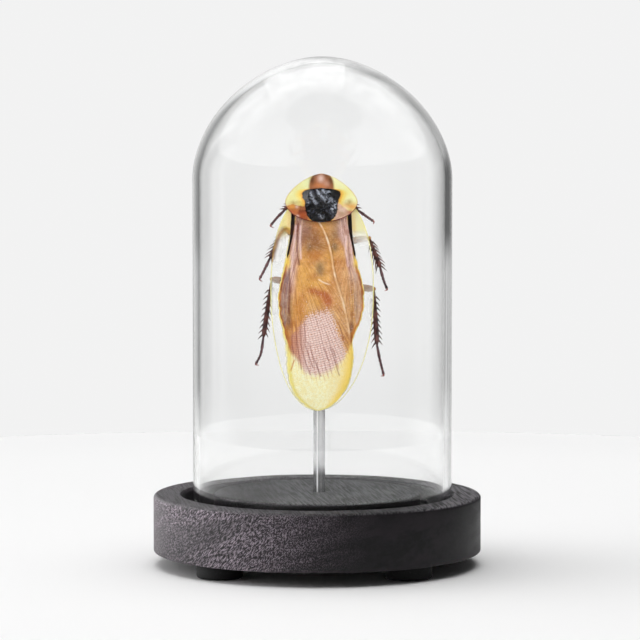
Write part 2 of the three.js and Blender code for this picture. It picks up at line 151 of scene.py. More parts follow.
def ripple(x, y, size, seed):
    """An irregular wavy field of about unit height, with waves about as long as size."""
    draw = np.random.default_rng(seed)
    total = 0.0
    for _ in range(RIPPLE_WAVES):
        turn, shift, spread = draw.uniform(0, math.tau), draw.uniform(0, math.tau), draw.uniform(0.7, 1.5)
        wave = math.tau * spread / size
        total = total + np.cos(wave * (x * math.cos(turn) + y * math.sin(turn)) + shift)
    return total / math.sqrt(RIPPLE_WAVES)


def line(offset, width):
    """A soft line where the offset is nought."""
    return np.exp(-(offset / width) ** 2)


def spots(x, y, places):
    """Soft patches, each with a place, a half width, a half length and a strength."""
    total = sum(strength * line(x - across, wide) * line(y - up, long)
                for across, up, wide, long, strength in places)
    return np.clip(total, 0, 1)


def strokes(x, y, paths, width):
    """Soft lines along paths of x, y points."""
    total = 0.0 * x
    for path in paths:
        for (from_x, from_y), (to_x, to_y) in zip(path[:-1], path[1:]):
            run, rise = to_x - from_x, to_y - from_y
            t = np.clip(((x - from_x) * run + (y - from_y) * rise) / (run ** 2 + rise ** 2), 0, 1)
            total = np.maximum(total, line(np.hypot(x - from_x - run * t, y - from_y - rise * t), width))
    return total


# Meshes

def join(parts):
    """One (points, faces) pair from several."""
    points, faces, start = [], [], 0
    for some_points, some_faces in parts:
        points.append(np.asarray(some_points, float))
        faces.extend([[i + start for i in face] for face in some_faces])
        start += len(some_points)
    return np.concatenate(points), faces


def piece(name, shape, material, node, fields=None):
    """A smooth-shaded mesh in place of a CAD node, with a value per point for each field."""
    points, faces = shape
    mesh = bpy.data.meshes.new(name)
    mesh.from_pydata((np.asarray(points) * MM).tolist(), [], [list(map(int, f)) for f in faces])
    for field, values in (fields or {}).items():
        layer = mesh.attributes.new(field, "FLOAT", "POINT")
        layer.data.foreach_set("value", np.asarray(values, np.float32).ravel())
    mesh.polygons.foreach_set("use_smooth", np.ones(len(mesh.polygons), bool))
    mesh.materials.append(material)
    made = bpy.data.objects.new(name, mesh)
    bpy.context.scene.collection.objects.link(made)
    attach(made, "root")
    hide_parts(node)


def insect_piece(name, shape, material, node, fields):
    """A piece whose points are given in the insect's own frame."""
    x, y, z = np.moveaxis(np.asarray(shape[0], float), -1, 0)
    points = np.stack([INSECT_X + x, BELLY_Y - z, WING_TIP_Z + y], -1)
    piece(name, (points, shape[1]), material, node, fields)


def quads(a, b, c, d):
    return np.stack([a, b, c, d], -1).reshape(-1, 4)


def closed_sheet(x, y, top, bottom):
    """A closed sheet over a grid of places, between two heights; the top one faces +z."""
    rows, columns = x.shape
    count = rows * columns
    at = np.arange(count).reshape(rows, columns)
    upper = quads(at[:-1, :-1], at[:-1, 1:], at[1:, 1:], at[1:, :-1])
    lower = quads(at[:-1, :-1], at[1:, :-1], at[1:, 1:], at[:-1, 1:]) + count
    border = np.concatenate([at[0, :-1], at[:-1, -1], at[-1, :0:-1], at[:0:-1, 0]])
    after = np.roll(border, -1)
    sides = quads(border, border + count, after + count, after)
    points = np.concatenate([np.stack([x, y, z], -1).reshape(-1, 3) for z in (top, bottom)])
    return points, np.concatenate([upper, lower, sides]).tolist()


def both_faces(fields):
    """Field values for the top and the bottom face of a sheet."""
    return {name: np.concatenate([np.ravel(values)] * 2) for name, values in fields.items()}


def ring_skin(rings):
    """A closed skin through rings of equally many points, with a fan at each end."""
    rings = np.asarray(rings, float)
    count, sides = rings.shape[:2]
    at = np.arange(count * sides).reshape(count, sides)
    beside = np.roll(at, -1, axis=1)
    faces = quads(at[:-1], beside[:-1], beside[1:], at[1:]).tolist()
    first, last = count * sides, count * sides + 1
    faces += [[first, int(b), int(a)] for a, b in zip(at[0], beside[0])]
    faces += [[last, int(a), int(b)] for a, b in zip(at[-1], beside[-1])]
    hubs = np.stack([rings[0].mean(0), rings[-1].mean(0)])
    return np.concatenate([rings.reshape(-1, 3), hubs]), faces


def full_turn(steps):
    return np.arange(steps) * math.tau / steps


def turned(outline, steps, swell=None):
    """A body of revolution about +Z.

    The outline holds (radius, height, axis x) from the axis round to the axis.
    """
    turn = full_turn(steps)
    rings = []
    for radius, height, axis_x in outline:
        reach = radius + (swell(turn, height, radius) if swell else 0)
        rings.append(np.stack([axis_x + reach * np.cos(turn), reach * np.sin(turn), height + 0 * turn], -1))
    return ring_skin(rings)


def rounded(corner, start_turn, end_turn, radius, steps=6):
    """Points of an arc about a corner centre, as (radius, height) pairs; turns are in degrees."""
    turns = np.radians(np.linspace(start_turn, end_turn, steps))
    return [(corner[0] + radius * math.cos(t), corner[1] + radius * math.sin(t)) for t in turns]


def smooth_path(points, steps):
    """Evenly stepped points along a smooth curve through the given ones."""
    points = np.asarray(points, float)
    lengths = np.linalg.norm(np.diff(points, axis=0), axis=1)
    marks = np.concatenate([[0], np.cumsum(lengths)])
    along = np.linspace(0, marks[-1], steps)
    return np.stack([curve(list(zip(marks, column)))(along) for column in points.T], -1)


def unit(vector):
    return vector / np.linalg.norm(vector)


def tube(path, radii, sides=12, flat=1.0):
    """A closed limb along a path, with a radius at each point, flattened back to belly."""
    turn = full_turn(sides)
    up = np.array([0.0, 0.0, 1.0])
    rings = []
    for point, along, radius in zip(np.asarray(path, float), np.gradient(path, axis=0), radii):
        heading = unit(along)
        up = unit(up - heading * up.dot(heading))
        wide = np.cross(heading, up)
        offset = np.outer(np.cos(turn), wide) - flat * np.outer(np.sin(turn), up)
        rings.append(point + radius * offset)
    return ring_skin(rings)


def ball(centre, radii, sides, down):
    """A closed ellipsoid."""
    turn = full_turn(sides)
    rings = []
    for tilt in np.linspace(-math.pi / 2, math.pi / 2, down)[1:-1]:
        across = math.cos(tilt)
        ring = [across * np.cos(turn), across * np.sin(turn), math.sin(tilt) + 0 * turn]
        rings.append(np.stack(ring, -1) * radii + centre)
    return ring_skin(rings)


# Materials

def colour(red, green, blue):
    """A colour of the photograph, as read on screen, in the renderer's linear values."""
    return tuple(((c / 255 + 0.055) / 1.055) ** 2.4 for c in (red, green, blue)) + (1.0,)


def grey(value):
    return (value, value, value, 1.0)


def paint(value):
    """What a colour socket takes: three screen values become linear, the rest stays as it is."""
    return colour(*value) if isinstance(value, tuple) and len(value) == 3 else value


class Nodes:
    """A node tree whose nodes are added by short calls, each of which returns the socket it makes."""

    def __init__(self, tree):
        self.tree = tree

    def put(self, socket, value):
        """Gives a socket a constant, another socket or, by its name, a field of the mesh."""
        if isinstance(value, str):
            value = self.node("Attribute", "Fac", {"attribute_name": value})
        if isinstance(value, bpy.types.NodeSocket):
            self.tree.links.new(value, socket)
        else:
            socket.default_value = value

    def node(self, kind, result, settings=None, **inputs):
        made = self.tree.nodes.new("ShaderNode" + kind)
        for key, value in (settings or {}).items():
            setattr(made, key, value)
        for key, value in inputs.items():
            self.put(made.inputs[key.replace("_", " ")], value)
        return made.outputs[result]

    def where(self):
        return self.node("TexCoord", "Object")

    def axes(self, vector):
        """The three parts of a vector."""
        made = self.tree.nodes.new("ShaderNodeSeparateXYZ")
        self.put(made.inputs[0], vector)
        return list(made.outputs)

    def place(self):
        """The place in the row frame, in millimetres, along each axis."""
        return self.axes(self.node("Mapping", "Vector", Vector=self.where(), Scale=(1 / MM,) * 3))

    def facing(self):
        return self.axes(self.node("NewGeometry", "Normal"))

    def noise(self, scale, detail, rough=0.5, vector=None, warp=0.0):
        return self.node(
            "TexNoise", "Fac", Vector=vector or self.where(), Scale=scale, Detail=detail,
            Roughness=rough, Distortion=warp,
        )

    def grain(self, lengths, turn, detail, rough, warp=0.0):
        """Noise with lengths, in millimetres, along three axes turned by angles in degrees."""
        lying = self.node(
            "Mapping", "Vector", {"vector_type": "TEXTURE"}, Vector=self.where(),
            Scale=[length * MM for length in lengths], Rotation=[math.radians(angle) for angle in turn],
        )
        return self.noise(1.0, detail, rough, lying, warp)

    def streaks(self, across, along, detail=2.0):
        """Noise drawn out along lines: the first place counts streaks, the second their lengths."""
        return self.noise(1.0, detail, 0.55, self.node("CombineXYZ", "Vector", X=across, Y=along))

    def math(self, operation, first, second=0.0, third=0.0):
        made = self.tree.nodes.new("ShaderNodeMath")
        made.operation = operation
        for socket, value in zip(made.inputs, (first, second, third)):
            self.put(socket, value)
        return made.outputs[0]

    def times(self, first, *others):
        for other in others:
            first = self.math("MULTIPLY", first, other)
        return first

    def larger(self, first, *others):
        for other in others:
            first = self.math("MAXIMUM", first, other)
        return first

    def plus(self, first, second):
        return self.math("ADD", first, second)

    def fit(self, value, scale, offset):
        return self.math("MULTIPLY_ADD", value, scale, offset)

    def off(self, value, place):
        """How far a value is from a place."""
        return self.math("ABSOLUTE", self.math("SUBTRACT", value, place))

    def band(self, value, low, high):
        """0 below low, 1 above high, and a smooth rise between them; low may be the larger."""
        return self.node(
            "MapRange", "Result", {"interpolation_type": "SMOOTHSTEP"},
            Value=value, From_Min=low, From_Max=high,
        )

    def mix(self, amount, first, second):
        return self.node("MixRGB", "Color", Fac=amount, Color1=paint(first), Color2=paint(second))

    def blend(self, value, low, high, first, second):
        """The first paint where the value is low, and the second one where it is high."""
        return self.mix(self.band(value, low, high), first, second)

    def layers(self, tone, *rows):
        """Lays paints over a tone, one by one.

        A row holds a paint, its strength and its masks; a (value, low, high) mask is a band.
        """
        for second, strength, *masks in rows:
            masks = [self.band(*mask) if isinstance(mask, tuple) else mask for mask in masks]
            tone = self.mix(self.times(strength, *masks), tone, second)
        return tone

    def bump(self, height, distance, strength=1.0):
        return self.node("Bump", "Normal", Height=height, Distance=distance * MM, Strength=strength)


class Surface(Nodes):
    """A material around one shader."""

    def __init__(self, name, **constants):
        self.material = bpy.data.materials.new(name)
        self.material.use_nodes = True
        super().__init__(self.material.node_tree)
        self.shader = self.tree.nodes["Principled BSDF"]
        self.finish(**constants)

    def finish(self, **sockets):
        for socket, value in sockets.items():
            self.put(self.shader.inputs[socket.replace("_", " ")], value)
        return self.material


# Patterns in wood and steel: lengths, turns, detail, roughness and warp.
WOOD_FIGURE = ((60, 20, 6.5), (0, -17, -38), 3.0, 0.55, 0.6)
WOOD_LINES = ((30, 1.6, 1.2), (0, -6, -38), 3.0, 0.6)
WOOD_WORMS = ((1.2, 0.22, 0.22), (0, -44, -38), 2.0, 0.5, 0.3)
WOOD_GRAIN = ((12.0, 0.6, 0.6), (0, 0, 98), 2.0, 0.5, 0.3)
ROD_DRAWN = ((0.12, 0.12, 18), (0, 0, 0), 3.0, 0.6)
GLASS_TINT, GLASS_DENSITY = (0.84, 0.87, 0.86, 1), 40.0


def wood_top_with_sheen(s, x, grain, disc):
    """The paint of the flat upper faces, paler than the sides as a painted sheen: paler still at both ends,
    and grey on the disc under the glass, with a darker painted reflection on the disc's left.
    """
    return s.layers(
        s.blend(grain, 0.38, 0.62, (40, 40, 41), (106, 105, 107)),
        ((100, 98, 102), 0.5, (x, -32, -46), (grain, 0.3, 0.6)),
        ((176, 172, 178), 0.75, (x, 24, 40), (grain, 0.35, 0.6)),
        (s.blend(grain, 0.38, 0.62, (44, 45, 46), (132, 134, 136)), 0.8, disc),
        ((40, 41, 40), 0.7, disc, (x, -6, -20)),
    )


def stained_wood():
    """Open-pored wood, stained charcoal, with a fine ridged grain that fades out to the right.
    On the left, where the light comes from, the ridges carry painted highlights and the furrows painted
    shade;
    both fade out to the right with the grain's relief.
    """
    s = Surface("stained_wood", Specular_IOR_Level=0.25)
    x, y, z = s.place()
    up = s.facing()[2]
    lines, worms, grain = s.grain(*WOOD_LINES), s.grain(*WOOD_WORMS), s.grain(*WOOD_GRAIN)
    banded = s.band(s.grain(*WOOD_FIGURE), 0.4, 0.62)
    grain_lit_from_left = s.times(s.band(x, 20, -36), s.fit(banded, 0.6, 0.42))
    radius = s.math("SQRT", s.plus(s.times(x, x), s.times(y, y)))
    flat, wall = s.band(up, 0.3, 0.9), s.band(up, 0.6, 0.2)
    disc = s.times(flat, s.band(radius, GROOVE_INNER, GROOVE_INNER - 0.6))
    # Painted shade in the sunken parts inside the groove's outer edge: their walls and floors are darkened.
    groove_shade = s.larger(wall, s.band(z, BASE_TOP - 0.5, BASE_TOP - 1.8))
    tone = s.layers(
        s.blend(lines, 0.35, 0.7, (13, 11, 14), (24, 21, 25)),
        ((44, 39, 44), 0.6, banded),
        # Painted highlights on the ridges and painted shade in the furrows, from the light on the left.
        ((206, 190, 203), 0.78, (worms, 0.49, 0.6), grain_lit_from_left),
        ((8, 6, 9), 0.7, (worms, 0.47, 0.36), grain_lit_from_left),
        # The flat tops, with their painted sheen.
        (wood_top_with_sheen(s, x, grain, disc), 0.75, flat),
        ((8, 8, 9), 0.9, groove_shade, (radius, GROOVE_OUTER + 1.2, GROOVE_OUTER + 0.6)),
    )
    relief = s.plus(s.times(worms, s.fit(grain_lit_from_left, 1.1, 0.08)), s.times(grain, flat, 0.8))
    return s.finish(Base_Color=tone, Roughness=s.fit(banded, 0.1, 0.44), Normal=s.bump(relief, 0.3))


def black_rubber():
    s = Surface("black_rubber", Specular_IOR_Level=0.3)
    dust = s.noise(1600, 3.0)
    tone = s.blend(dust, 0.5, 0.8, (16, 16, 17), (40, 40, 41))
    return s.finish(Base_Color=tone, Roughness=s.fit(dust, 0.2, 0.65), Normal=s.bump(dust, 0.03))


def clear_glass():
    s = Surface("clear_glass", Base_Color=grey(1.0), Roughness=0.0, IOR=1.47, Transmission_Weight=1.0)
    absorbed = s.node("VolumeAbsorption", "Volume", Color=GLASS_TINT, Density=GLASS_DENSITY)
    s.put(s.tree.nodes["Material Output"].inputs["Volume"], absorbed)
    return s.material


def rod_steel():
    """Drawn steel with a painted highlight line along its left side and a paler painted highlight on its
    right, painted dark near its foot as a reflection of the wood, and darkest at the foot as painted shade.
    """
    s = Surface("rod_steel")
    across, z, drawn = s.facing()[0], s.place()[2], s.grain(*ROD_DRAWN)
    highlight_line, pale = s.band(s.off(across, -0.33), 0.16, 0.07), s.band(s.off(across, 0.32), 0.3, 0.05)
    # foot is where the rod meets the wood: it is painted darker as shade, and the painted highlight line
    # fades there.
    foot = s.band(z, PLINTH_TOP + 2.5, PLINTH_TOP)
    tone = s.layers(
        s.blend(drawn, 0.3, 0.7, (222, 222, 224), (236, 236, 237)),
        ((242, 242, 243), 0.7, pale),
        (s.mix(pale, (66, 66, 68), (122, 122, 124)), 0.88, (z, PLINTH_TOP + 8.5, PLINTH_TOP + 4.5)),
        ((36, 36, 37), 0.6, foot),
        ((255, 255, 255), 1, highlight_line, s.fit(foot, -0.5, 1.0)),
    )
    return s.finish(Base_Color=tone, Metallic=s.fit(highlight_line, -0.4, 0.5),
                    Roughness=s.fit(drawn, 0.1, 0.12), Normal=s.bump(drawn, 0.002))


def shield_horn(s, edge, mottle):
    """Clear yellow horn: russet and orange at the left rear corner, beige at the right one.
    The right half is painted paler than the left to even out the light from the left,
    and the pale patches on the corners are painted highlights.
    """
    wash, right = s.noise(190, 2.0), s.band("side", -0.2, 0.2)
    # The left half is painted darker and the right half paler, evening out the light from the left.
    left_lemon = s.blend(wash, 0.35, 0.65, (224, 226, 172), (224, 218, 148))
    right_lemon = s.blend(wash, 0.35, 0.65, (240, 240, 184), (238, 232, 158))
    russet = s.blend(mottle, 0.38, 0.62, (122, 52, 26), (190, 116, 64))
    beige = s.blend(mottle, 0.35, 0.65, (202, 158, 132), (228, 198, 178))
    return s.layers(
        s.mix(right, left_lemon, right_lemon),
        ((238, 208, 96), 1, (edge, -2.6, -0.6)),
        ((226, 160, 56), 1, (edge, -1.0, 0.0)),
        ((196, 146, 84), 0.6, ("rim", 0.5, 0.0)),
        (s.mix(right, russet, beige), 1, (s.plus("corner", s.fit(mottle, 1.4, -0.7)), 0.2, 0.8)),
        ((232, 158, 68), 0.85, "orange"),
        ((184, 84, 32), 0.85, "rust"),
        ((160, 116, 44), 0.85, "olive", (mottle, 0.3, 0.6)),
        # Painted highlights on the rear corners.
        ((246, 214, 198), 0.8, "pale"),
        ((112, 34, 24), 1, ("tail", 0.45, 0.1)),
    )


def shield_cuticle():
    """Yellow horn with a brown hump over the head and a wrinkled black centre;
    the gleams on the centre and the glint on the hump are painted highlights.
    """
    s = Surface("shield_cuticle", Specular_IOR_Level=0.35, Coat_Weight=0.08, Coat_Roughness=0.1)
    mottle, fine = s.noise(520, 4.0), s.noise(1500, 3.0)
    edge = s.plus("mark", s.fit(fine, 0.9, -0.45))
    hood = s.layers(
        s.blend(mottle, 0.3, 0.7, (146, 86, 46), (170, 106, 64)),
        ((196, 116, 54), 0.8, "hood_glow"),
        ((92, 50, 20), 0.85, "hood_dark"),
        # A painted highlight on the hump.
        ((220, 190, 178), 0.85, "glint"),
    )
    black = s.layers(
        s.blend(mottle, 0.45, 0.75, (6, 5, 7), (30, 29, 36)),
        # Painted bluish glints on the wrinkles, and brighter painted highlights along the folds.
        ((92, 98, 114), 0.6, (s.noise(900, 2.0, 0.5, None, 1.2), 0.54, 0.66), "wrinkled"),
        ((176, 182, 196), 0.85, "gleam", (fine, 0.4, 0.54)),
    )
    horn = shield_horn(s, edge, mottle)
    tone = s.layers(horn, (hood, 1, ("hump", -0.5, 0.4)), (black, 1, (edge, -0.12, 0.16)))
    on_mark = s.band("mark", -0.2, 0.2)
    rough = s.fit(on_mark, -0.16, s.fit(mottle, 0.2, 0.3))
    relief = s.times(fine, s.fit(on_mark, -0.5, 1.0))
    return s.finish(Base_Color=tone, Roughness=rough, Normal=s.bump(relief, 0.08, 0.8))


def vein_lines(s, fan, spacing, width):
    """Thin lines at equal steps of the fan field, as a mask."""
    place = s.math("FRACT", s.math("DIVIDE", fan, spacing))
    return s.band(s.off(place, 0.5), width, width * 0.35)


def wing_patterns(s):
    """Noise, lines and masks that the layers of a fore wing's paint share."""
    wing = SimpleNamespace(mottle=s.noise(330, 4.0), wash=s.noise(120, 2.0), fleck=s.noise(1500, 2.0))
    wing.strands = s.streaks(s.times("vein", 0.9), s.times("reach", 0.07))
    wing.threads = s.streaks(s.times("vein", 2.2), s.times("reach", 0.13))
    wing.net = s.streaks(s.times("vein", 1.5), s.times("reach", 1.9), 1.0)
    jitter = s.plus("vein", s.fit(wing.strands, 1.5, -0.75))
    broken = s.fit(s.band(wing.threads, 0.3, 0.55), 0.5, 0.5)
    wing.veins = s.times(vein_lines(s, jitter, PLEAT_STEP, 0.15), broken)
    wing.core = s.plus("core", s.fit(s.noise(620, 2.0), 1.0, -0.5))
    wing.glow = s.math("DIVIDE", wing.core, "fringe")
    wing.black = s.band("stripe", -0.15, 0.12)
    return wing


def amber_back(s, wing):
    """Amber over the body, darker towards the shield, with a red patch above the pleats."""
    return s.layers(
        s.blend(wing.mottle, 0.3, 0.7, (198, 128, 56), (240, 180, 102)),
        ((228, 172, 88), 0.5, (wing.wash, 0.5, 0.64)),
        (s.blend(wing.wash, 0.4, 0.6, (168, 116, 66), (200, 140, 78)), 0.6, ("along", 45, 51)),
        (s.blend(wing.mottle, 0.35, 0.65, (222, 168, 112), (238, 196, 150)), 0.8, "peach"),
        ((232, 176, 84), 0.75, "gold"),
        ((206, 126, 52), 0.7, "orange"),
        ((182, 86, 44), 0.85, "blush"),
        ((180, 138, 128), 0.9, "ash", (wing.mottle, 0.2, 0.6)),
        ((126, 106, 72), 0.85, "smudge", (wing.mottle, 0.15, 0.5)),
    )


def flanks(s, wing, tone):
    """Mauve along the flanks, slate beside the edge, the ribs between them, and fine flecks over all."""
    right = s.band("across", -4, 4)
    slate = s.mix(right, (136, 110, 112), (208, 170, 142))
    return s.layers(
        tone,
        (s.blend(wing.threads, 0.36, 0.64, (176, 128, 120), (230, 198, 190)), 0.85, "flank"),
        ((120, 72, 50), 0.7, "shade"),
        (s.blend(wing.mottle, 0.4, 0.75, slate, (194, 170, 162)), s.fit(right, -0.1, 0.85), "costal"),
        ((96, 56, 56), 0.8, "bruise"),
        ((244, 216, 212), 0.7, "pale_rib"),
        ((104, 48, 50), 0.85, "rib"),
        ((150, 80, 38), 0.42, (wing.threads, 0.48, 0.34)),
        ((242, 196, 130), 0.5, (wing.threads, 0.54, 0.7)),
        ((164, 90, 46), 0.45, (wing.strands, 0.46, 0.3)),
        ((244, 210, 172), 0.16, (wing.fleck, 0.5, 0.75)),
        ((124, 70, 46), 0.26, (wing.fleck, 0.48, 0.25)),
    )


def rosy_pleats(s, wing, tone):
    """Rosy pleats with a fine net of veins."""
    rungs = vein_lines(s, s.plus("reach", s.fit(wing.net, 0.5, -0.25)), 0.68, 0.2)
    rose = s.layers(
        s.blend(wing.net, 0.3, 0.7, (236, 196, 184), (254, 234, 226)),
        ((200, 122, 72), 0.75, ("across", -3.5, -8.0)),
        ((160, 100, 92), 0.45, rungs),
    )
    torn = s.plus(s.fit(wing.strands, 1.0, -0.5), s.fit(wing.net, 1.8, -0.9))
    return s.layers(
        tone,
        (rose, 1, (s.plus("pink", torn), 0.15, 0.85)),
        ((150, 86, 60), 0.2, rungs, "pleat"),
        ((150, 84, 72), 0.45, wing.veins, "pleat"),
    )


def yellow_tip(s, wing, tone):
    """The rust border of the coloured part, then the yellow tip with its golden rim and dark veins."""
    rust = s.blend(wing.mottle, 0.35, 0.65, (152, 80, 30), (200, 122, 50))
    lemon = s.layers(
        s.blend(wing.fleck, 0.3, 0.7, (250, 238, 174), (255, 252, 214)),
        ((250, 222, 154), 0.4, ("across", 0, 6)),
        ((238, 220, 100), 0.8, (wing.core, 1.6, 0.0)),
        ((255, 220, 106), 0.85, (wing.core, 3.9, 0.8), ("across", 1, 6)),
    )
    yellow = s.band(s.plus("tip", s.fit(wing.strands, 2.6, -1.3)), -1.2, 1.2)
    return s.layers(
        tone,
        (rust, 0.85, (s.math("DIVIDE", wing.core, "border"), 1.1, 0.35)),
        (lemon, 1, yellow),
        ((196, 116, 60), 0.6, wing.veins, ("tip", 3.2, 0.0), yellow),
        ((206, 130, 56), 0.85, "fold"),
        ((138, 56, 46), 0.72, "dark_vein", s.fit(s.band(wing.threads, 0.3, 0.5), 0.4, 0.6)),
    )


def back_seam(s, wing, tone):
    """Seam of the closed wings with a painted shadow beside it, and the small pale crease on the middle of
    the back.
    """
    return s.layers(
        tone,
        # A painted shadow along the seam.
        ((150, 86, 40), 0.3, ("suture", 1.5, 0.8), ("along", 26, 40)),
        (s.blend(wing.mottle, 0.35, 0.65, (232, 184, 132), (252, 228, 194)), 0.85,
         ("suture", 0.75, 0.3), ("along", 21, 25)),
        ((252, 236, 214), 1, "crease"),
    )


def clear_margin(s, wing, tone):
    """Clear film round the coloured part: yellow beside it and at the shoulder, with a black stripe
    and the painted shadow of the leg beneath the shoulder.
    """
    soot = s.blend(wing.mottle, 0.4, 0.7, (22, 7, 6), (56, 24, 18))
    return s.layers(
        (255, 254, 250),
        (s.blend("across", -6, 6, (255, 236, 130), (250, 242, 164)), 1, "shoulder"),
        ((246, 196, 72), 0.7, "shoulder", "beside"),
        (s.blend("along", 18, 28, (252, 240, 160), (248, 222, 108)), 1, (wing.glow, -1.0, -0.1)),
        ((255, 246, 150), 0.9, ("rim", 0.6, 0.2)),
        (tone, 1, (wing.core, -0.15, 0.2)),
        ((248, 212, 98), 0.85, "wedge"),
        # The painted shadow of the leg beneath the shoulder, seen through the film.
        (s.blend(wing.mottle, 0.4, 0.65, (140, 88, 38), (190, 138, 76)), 0.9, "knee"),
        (s.blend("along", 46.2, 47.6, (120, 62, 20), soot), 1, wing.black),
    )


def film_alpha(s, wing):
    """How far the film covers what lies behind it."""
    film = s.fit("shoulder", 0.4, s.plus("milk", 0.13))
    hem = s.times(s.band("rim", 0.55, 0.3), s.band("rim", 0.0, 0.12), 0.5)
    return s.larger(film, s.band(wing.glow, -1.0, 0.0), wing.black, hem, s.times("knee", 0.75))


def tegmen_membrane():
    """Thin horn, clear at the margins, with brown pleats over the body and a yellow tip."""
    s = Surface("tegmen_membrane", Specular_IOR_Level=0.18)
    wing = wing_patterns(s)
    tone = amber_back(s, wing)
    for layer in (flanks, rosy_pleats, yellow_tip, back_seam, clear_margin):
        tone = layer(s, wing, tone)
    relief = s.plus(s.times(wing.strands, 1.2), s.times(wing.threads, 0.5))
    relief = s.times(relief, s.band(wing.core, -0.8, 0.4))
    return s.finish(Base_Color=tone, Roughness=s.fit(wing.mottle, 0.2, 0.32), Alpha=film_alpha(s, wing),
                    Normal=s.bump(relief, 0.12, 0.8))


def hindwing_membrane():
    """Brown pleated film with a yellow end."""
    s = Surface("hindwing_membrane", Specular_IOR_Level=0.45)
    mottle, lines = s.noise(350, 4.0), vein_lines(s, "vein", HIND_PLEAT_STEP, 0.2)
    tone = s.layers(
        s.blend(mottle, 0.35, 0.7, (150, 84, 44), (196, 124, 70)),
        ((240, 222, 140), 1, (s.plus("tip", s.fit(mottle, 3.0, -1.5)), -0.6, 0.8)),
        ((104, 52, 34), 0.6, lines),
    )
    relief = s.math("SUBTRACT", s.times(mottle, 0.4), lines)
    return s.finish(Base_Color=tone, Roughness=s.fit(mottle, 0.2, 0.35), Normal=s.bump(relief, 0.08, 0.8))


def body_cuticle():
    """Brown horn with a paler hem on each segment, and faceted black eyes."""
    s = Surface("body_cuticle", Specular_IOR_Level=0.5, Coat_Weight=0.2, Coat_Roughness=0.2)
    mottle, facets = s.noise(260, 4.0), s.node("TexVoronoi", "Distance", Scale=5200.0)
    tone = s.layers(
        s.blend(mottle, 0.3, 0.7, (92, 46, 24), (140, 80, 42)),
        ((196, 132, 70), 0.75, ("hem", 0.35, 0.9)),
        (s.blend(facets, 0.1, 0.5, (20, 16, 16), (58, 44, 40)), 1, "eye"),
    )
    return s.finish(Base_Color=tone, Roughness=s.fit(mottle, 0.25, 0.25),
                    Normal=s.bump(s.noise(1800, 3.0), 0.04, 0.6))


def limb_cuticle():
    """Dark brown horn, amber on the thighs and reddish at the claws."""
    s = Surface("limb_cuticle", Specular_IOR_Level=0.5, Coat_Weight=0.2, Coat_Roughness=0.2)
    mottle = s.noise(700, 3.0)
    speckle = s.band(mottle, 0.35, 0.7)
    tone = s.layers(
        s.mix(speckle, (60, 30, 29), (126, 74, 66)),
        (s.mix(speckle, (168, 110, 46), (204, 150, 82)), 1, ("length", 0.03, 0.01)),
        (s.mix(speckle, (78, 50, 56), (124, 86, 88)), 1, ("length", 0.4, 0.5)),
        ((164, 88, 82), 1, ("length", 0.78, 1.0)),
    )
    return s.finish(Base_Color=tone, Roughness=s.fit(mottle, 0.2, 0.3),
                    Normal=s.bump(s.noise(2600, 3.0), 0.04, 0.7))


# Stand

def wood_base():
    floor_z, socket = BASE_TOP - GROOVE_DEPTH, ROD_RADIUS + SOCKET_GAP
    plinth, rim = GROOVE_INNER - PLINTH_EDGE, BASE_RADIUS - BASE_EDGE
    corner, lip = GROOVE_CORNER, GROOVE_LIP
    bore = [(HUB, ROD_BOTTOM - SOCKET_FLOOR), (socket, ROD_BOTTOM - SOCKET_FLOOR)]
    bore += [(socket, PLINTH_TOP - SOCKET_CHAMFER), (socket + SOCKET_CHAMFER, PLINTH_TOP)]
    outline = [(r, z, ROD_X) for r, z in bore]
    outline += [(r, PLINTH_TOP, ROD_X * max(0, 1 - r / CENTRED_FROM)) for r in PLINTH_RINGS]
    ring = [(plinth - PLINTH_HOLD, PLINTH_TOP)]
    ring += rounded((plinth, PLINTH_TOP - PLINTH_EDGE), 90, 0, PLINTH_EDGE)
    ring += [(GROOVE_INNER, floor_z + corner), (GROOVE_INNER + corner, floor_z)]
    ring += [(GROOVE_OUTER - corner, floor_z), (GROOVE_OUTER, floor_z + corner)]
    ring += [(GROOVE_OUTER, BASE_TOP - lip)]
    ring += rounded((GROOVE_OUTER + lip, BASE_TOP - lip), 180, 90, lip)
    ring += [(rim - BASE_HOLD, BASE_TOP)]
    ring += rounded((rim, BASE_TOP - BASE_EDGE), 90, 0, BASE_EDGE)
    ring += rounded((BASE_RADIUS - BASE_LOW_EDGE, BASE_BOTTOM + BASE_LOW_EDGE), 0, -90, BASE_LOW_EDGE)
    ring += [(rim - BASE_HOLD, BASE_BOTTOM), (BASE_INNER, BASE_BOTTOM), (HUB, BASE_BOTTOM)]
    outline += [(r, z, 0.0) for r, z in ring]
    piece("base", turned(outline[::-1], ROUND_STEPS), stained_wood(), "wood_base")


def rubber_feet():
    material = black_rubber()
    for name in FEET:
        low, high = node_box(name)
        centre, radius = (low + high) / 2, (high[0] - low[0]) / 2
        bottom, top = low[2], high[2]
        outline = [(max(HUB, share * radius), bottom + rise) for share, rise in FOOT_DISH]
        outline += rounded((radius - FOOT_LOW_EDGE, bottom + FOOT_LOW_EDGE), -90, 0, FOOT_LOW_EDGE)
        outline += rounded((radius - FOOT_TOP_EDGE, top - FOOT_TOP_EDGE), 0, 90, FOOT_TOP_EDGE)
        outline += [(HUB, top)]
        points, faces = turned([(r, z, centre[0]) for r, z in outline], FOOT_STEPS)
        points[:, 1] += centre[1]
        piece(name.replace("foot", "bumper"), (points, faces), material, name)


def cap_curve(radius, height, steps):
    turns = np.linspace(0, math.pi / 2, steps)
    across = radius * np.clip(np.cos(turns), 0, 1) ** (2 / DOME_POWER)
    up = DOME_TOP - DOME_CAP + height * np.sin(turns) ** (2 / DOME_POWER)
    return list(zip(np.maximum(across, HUB), up))


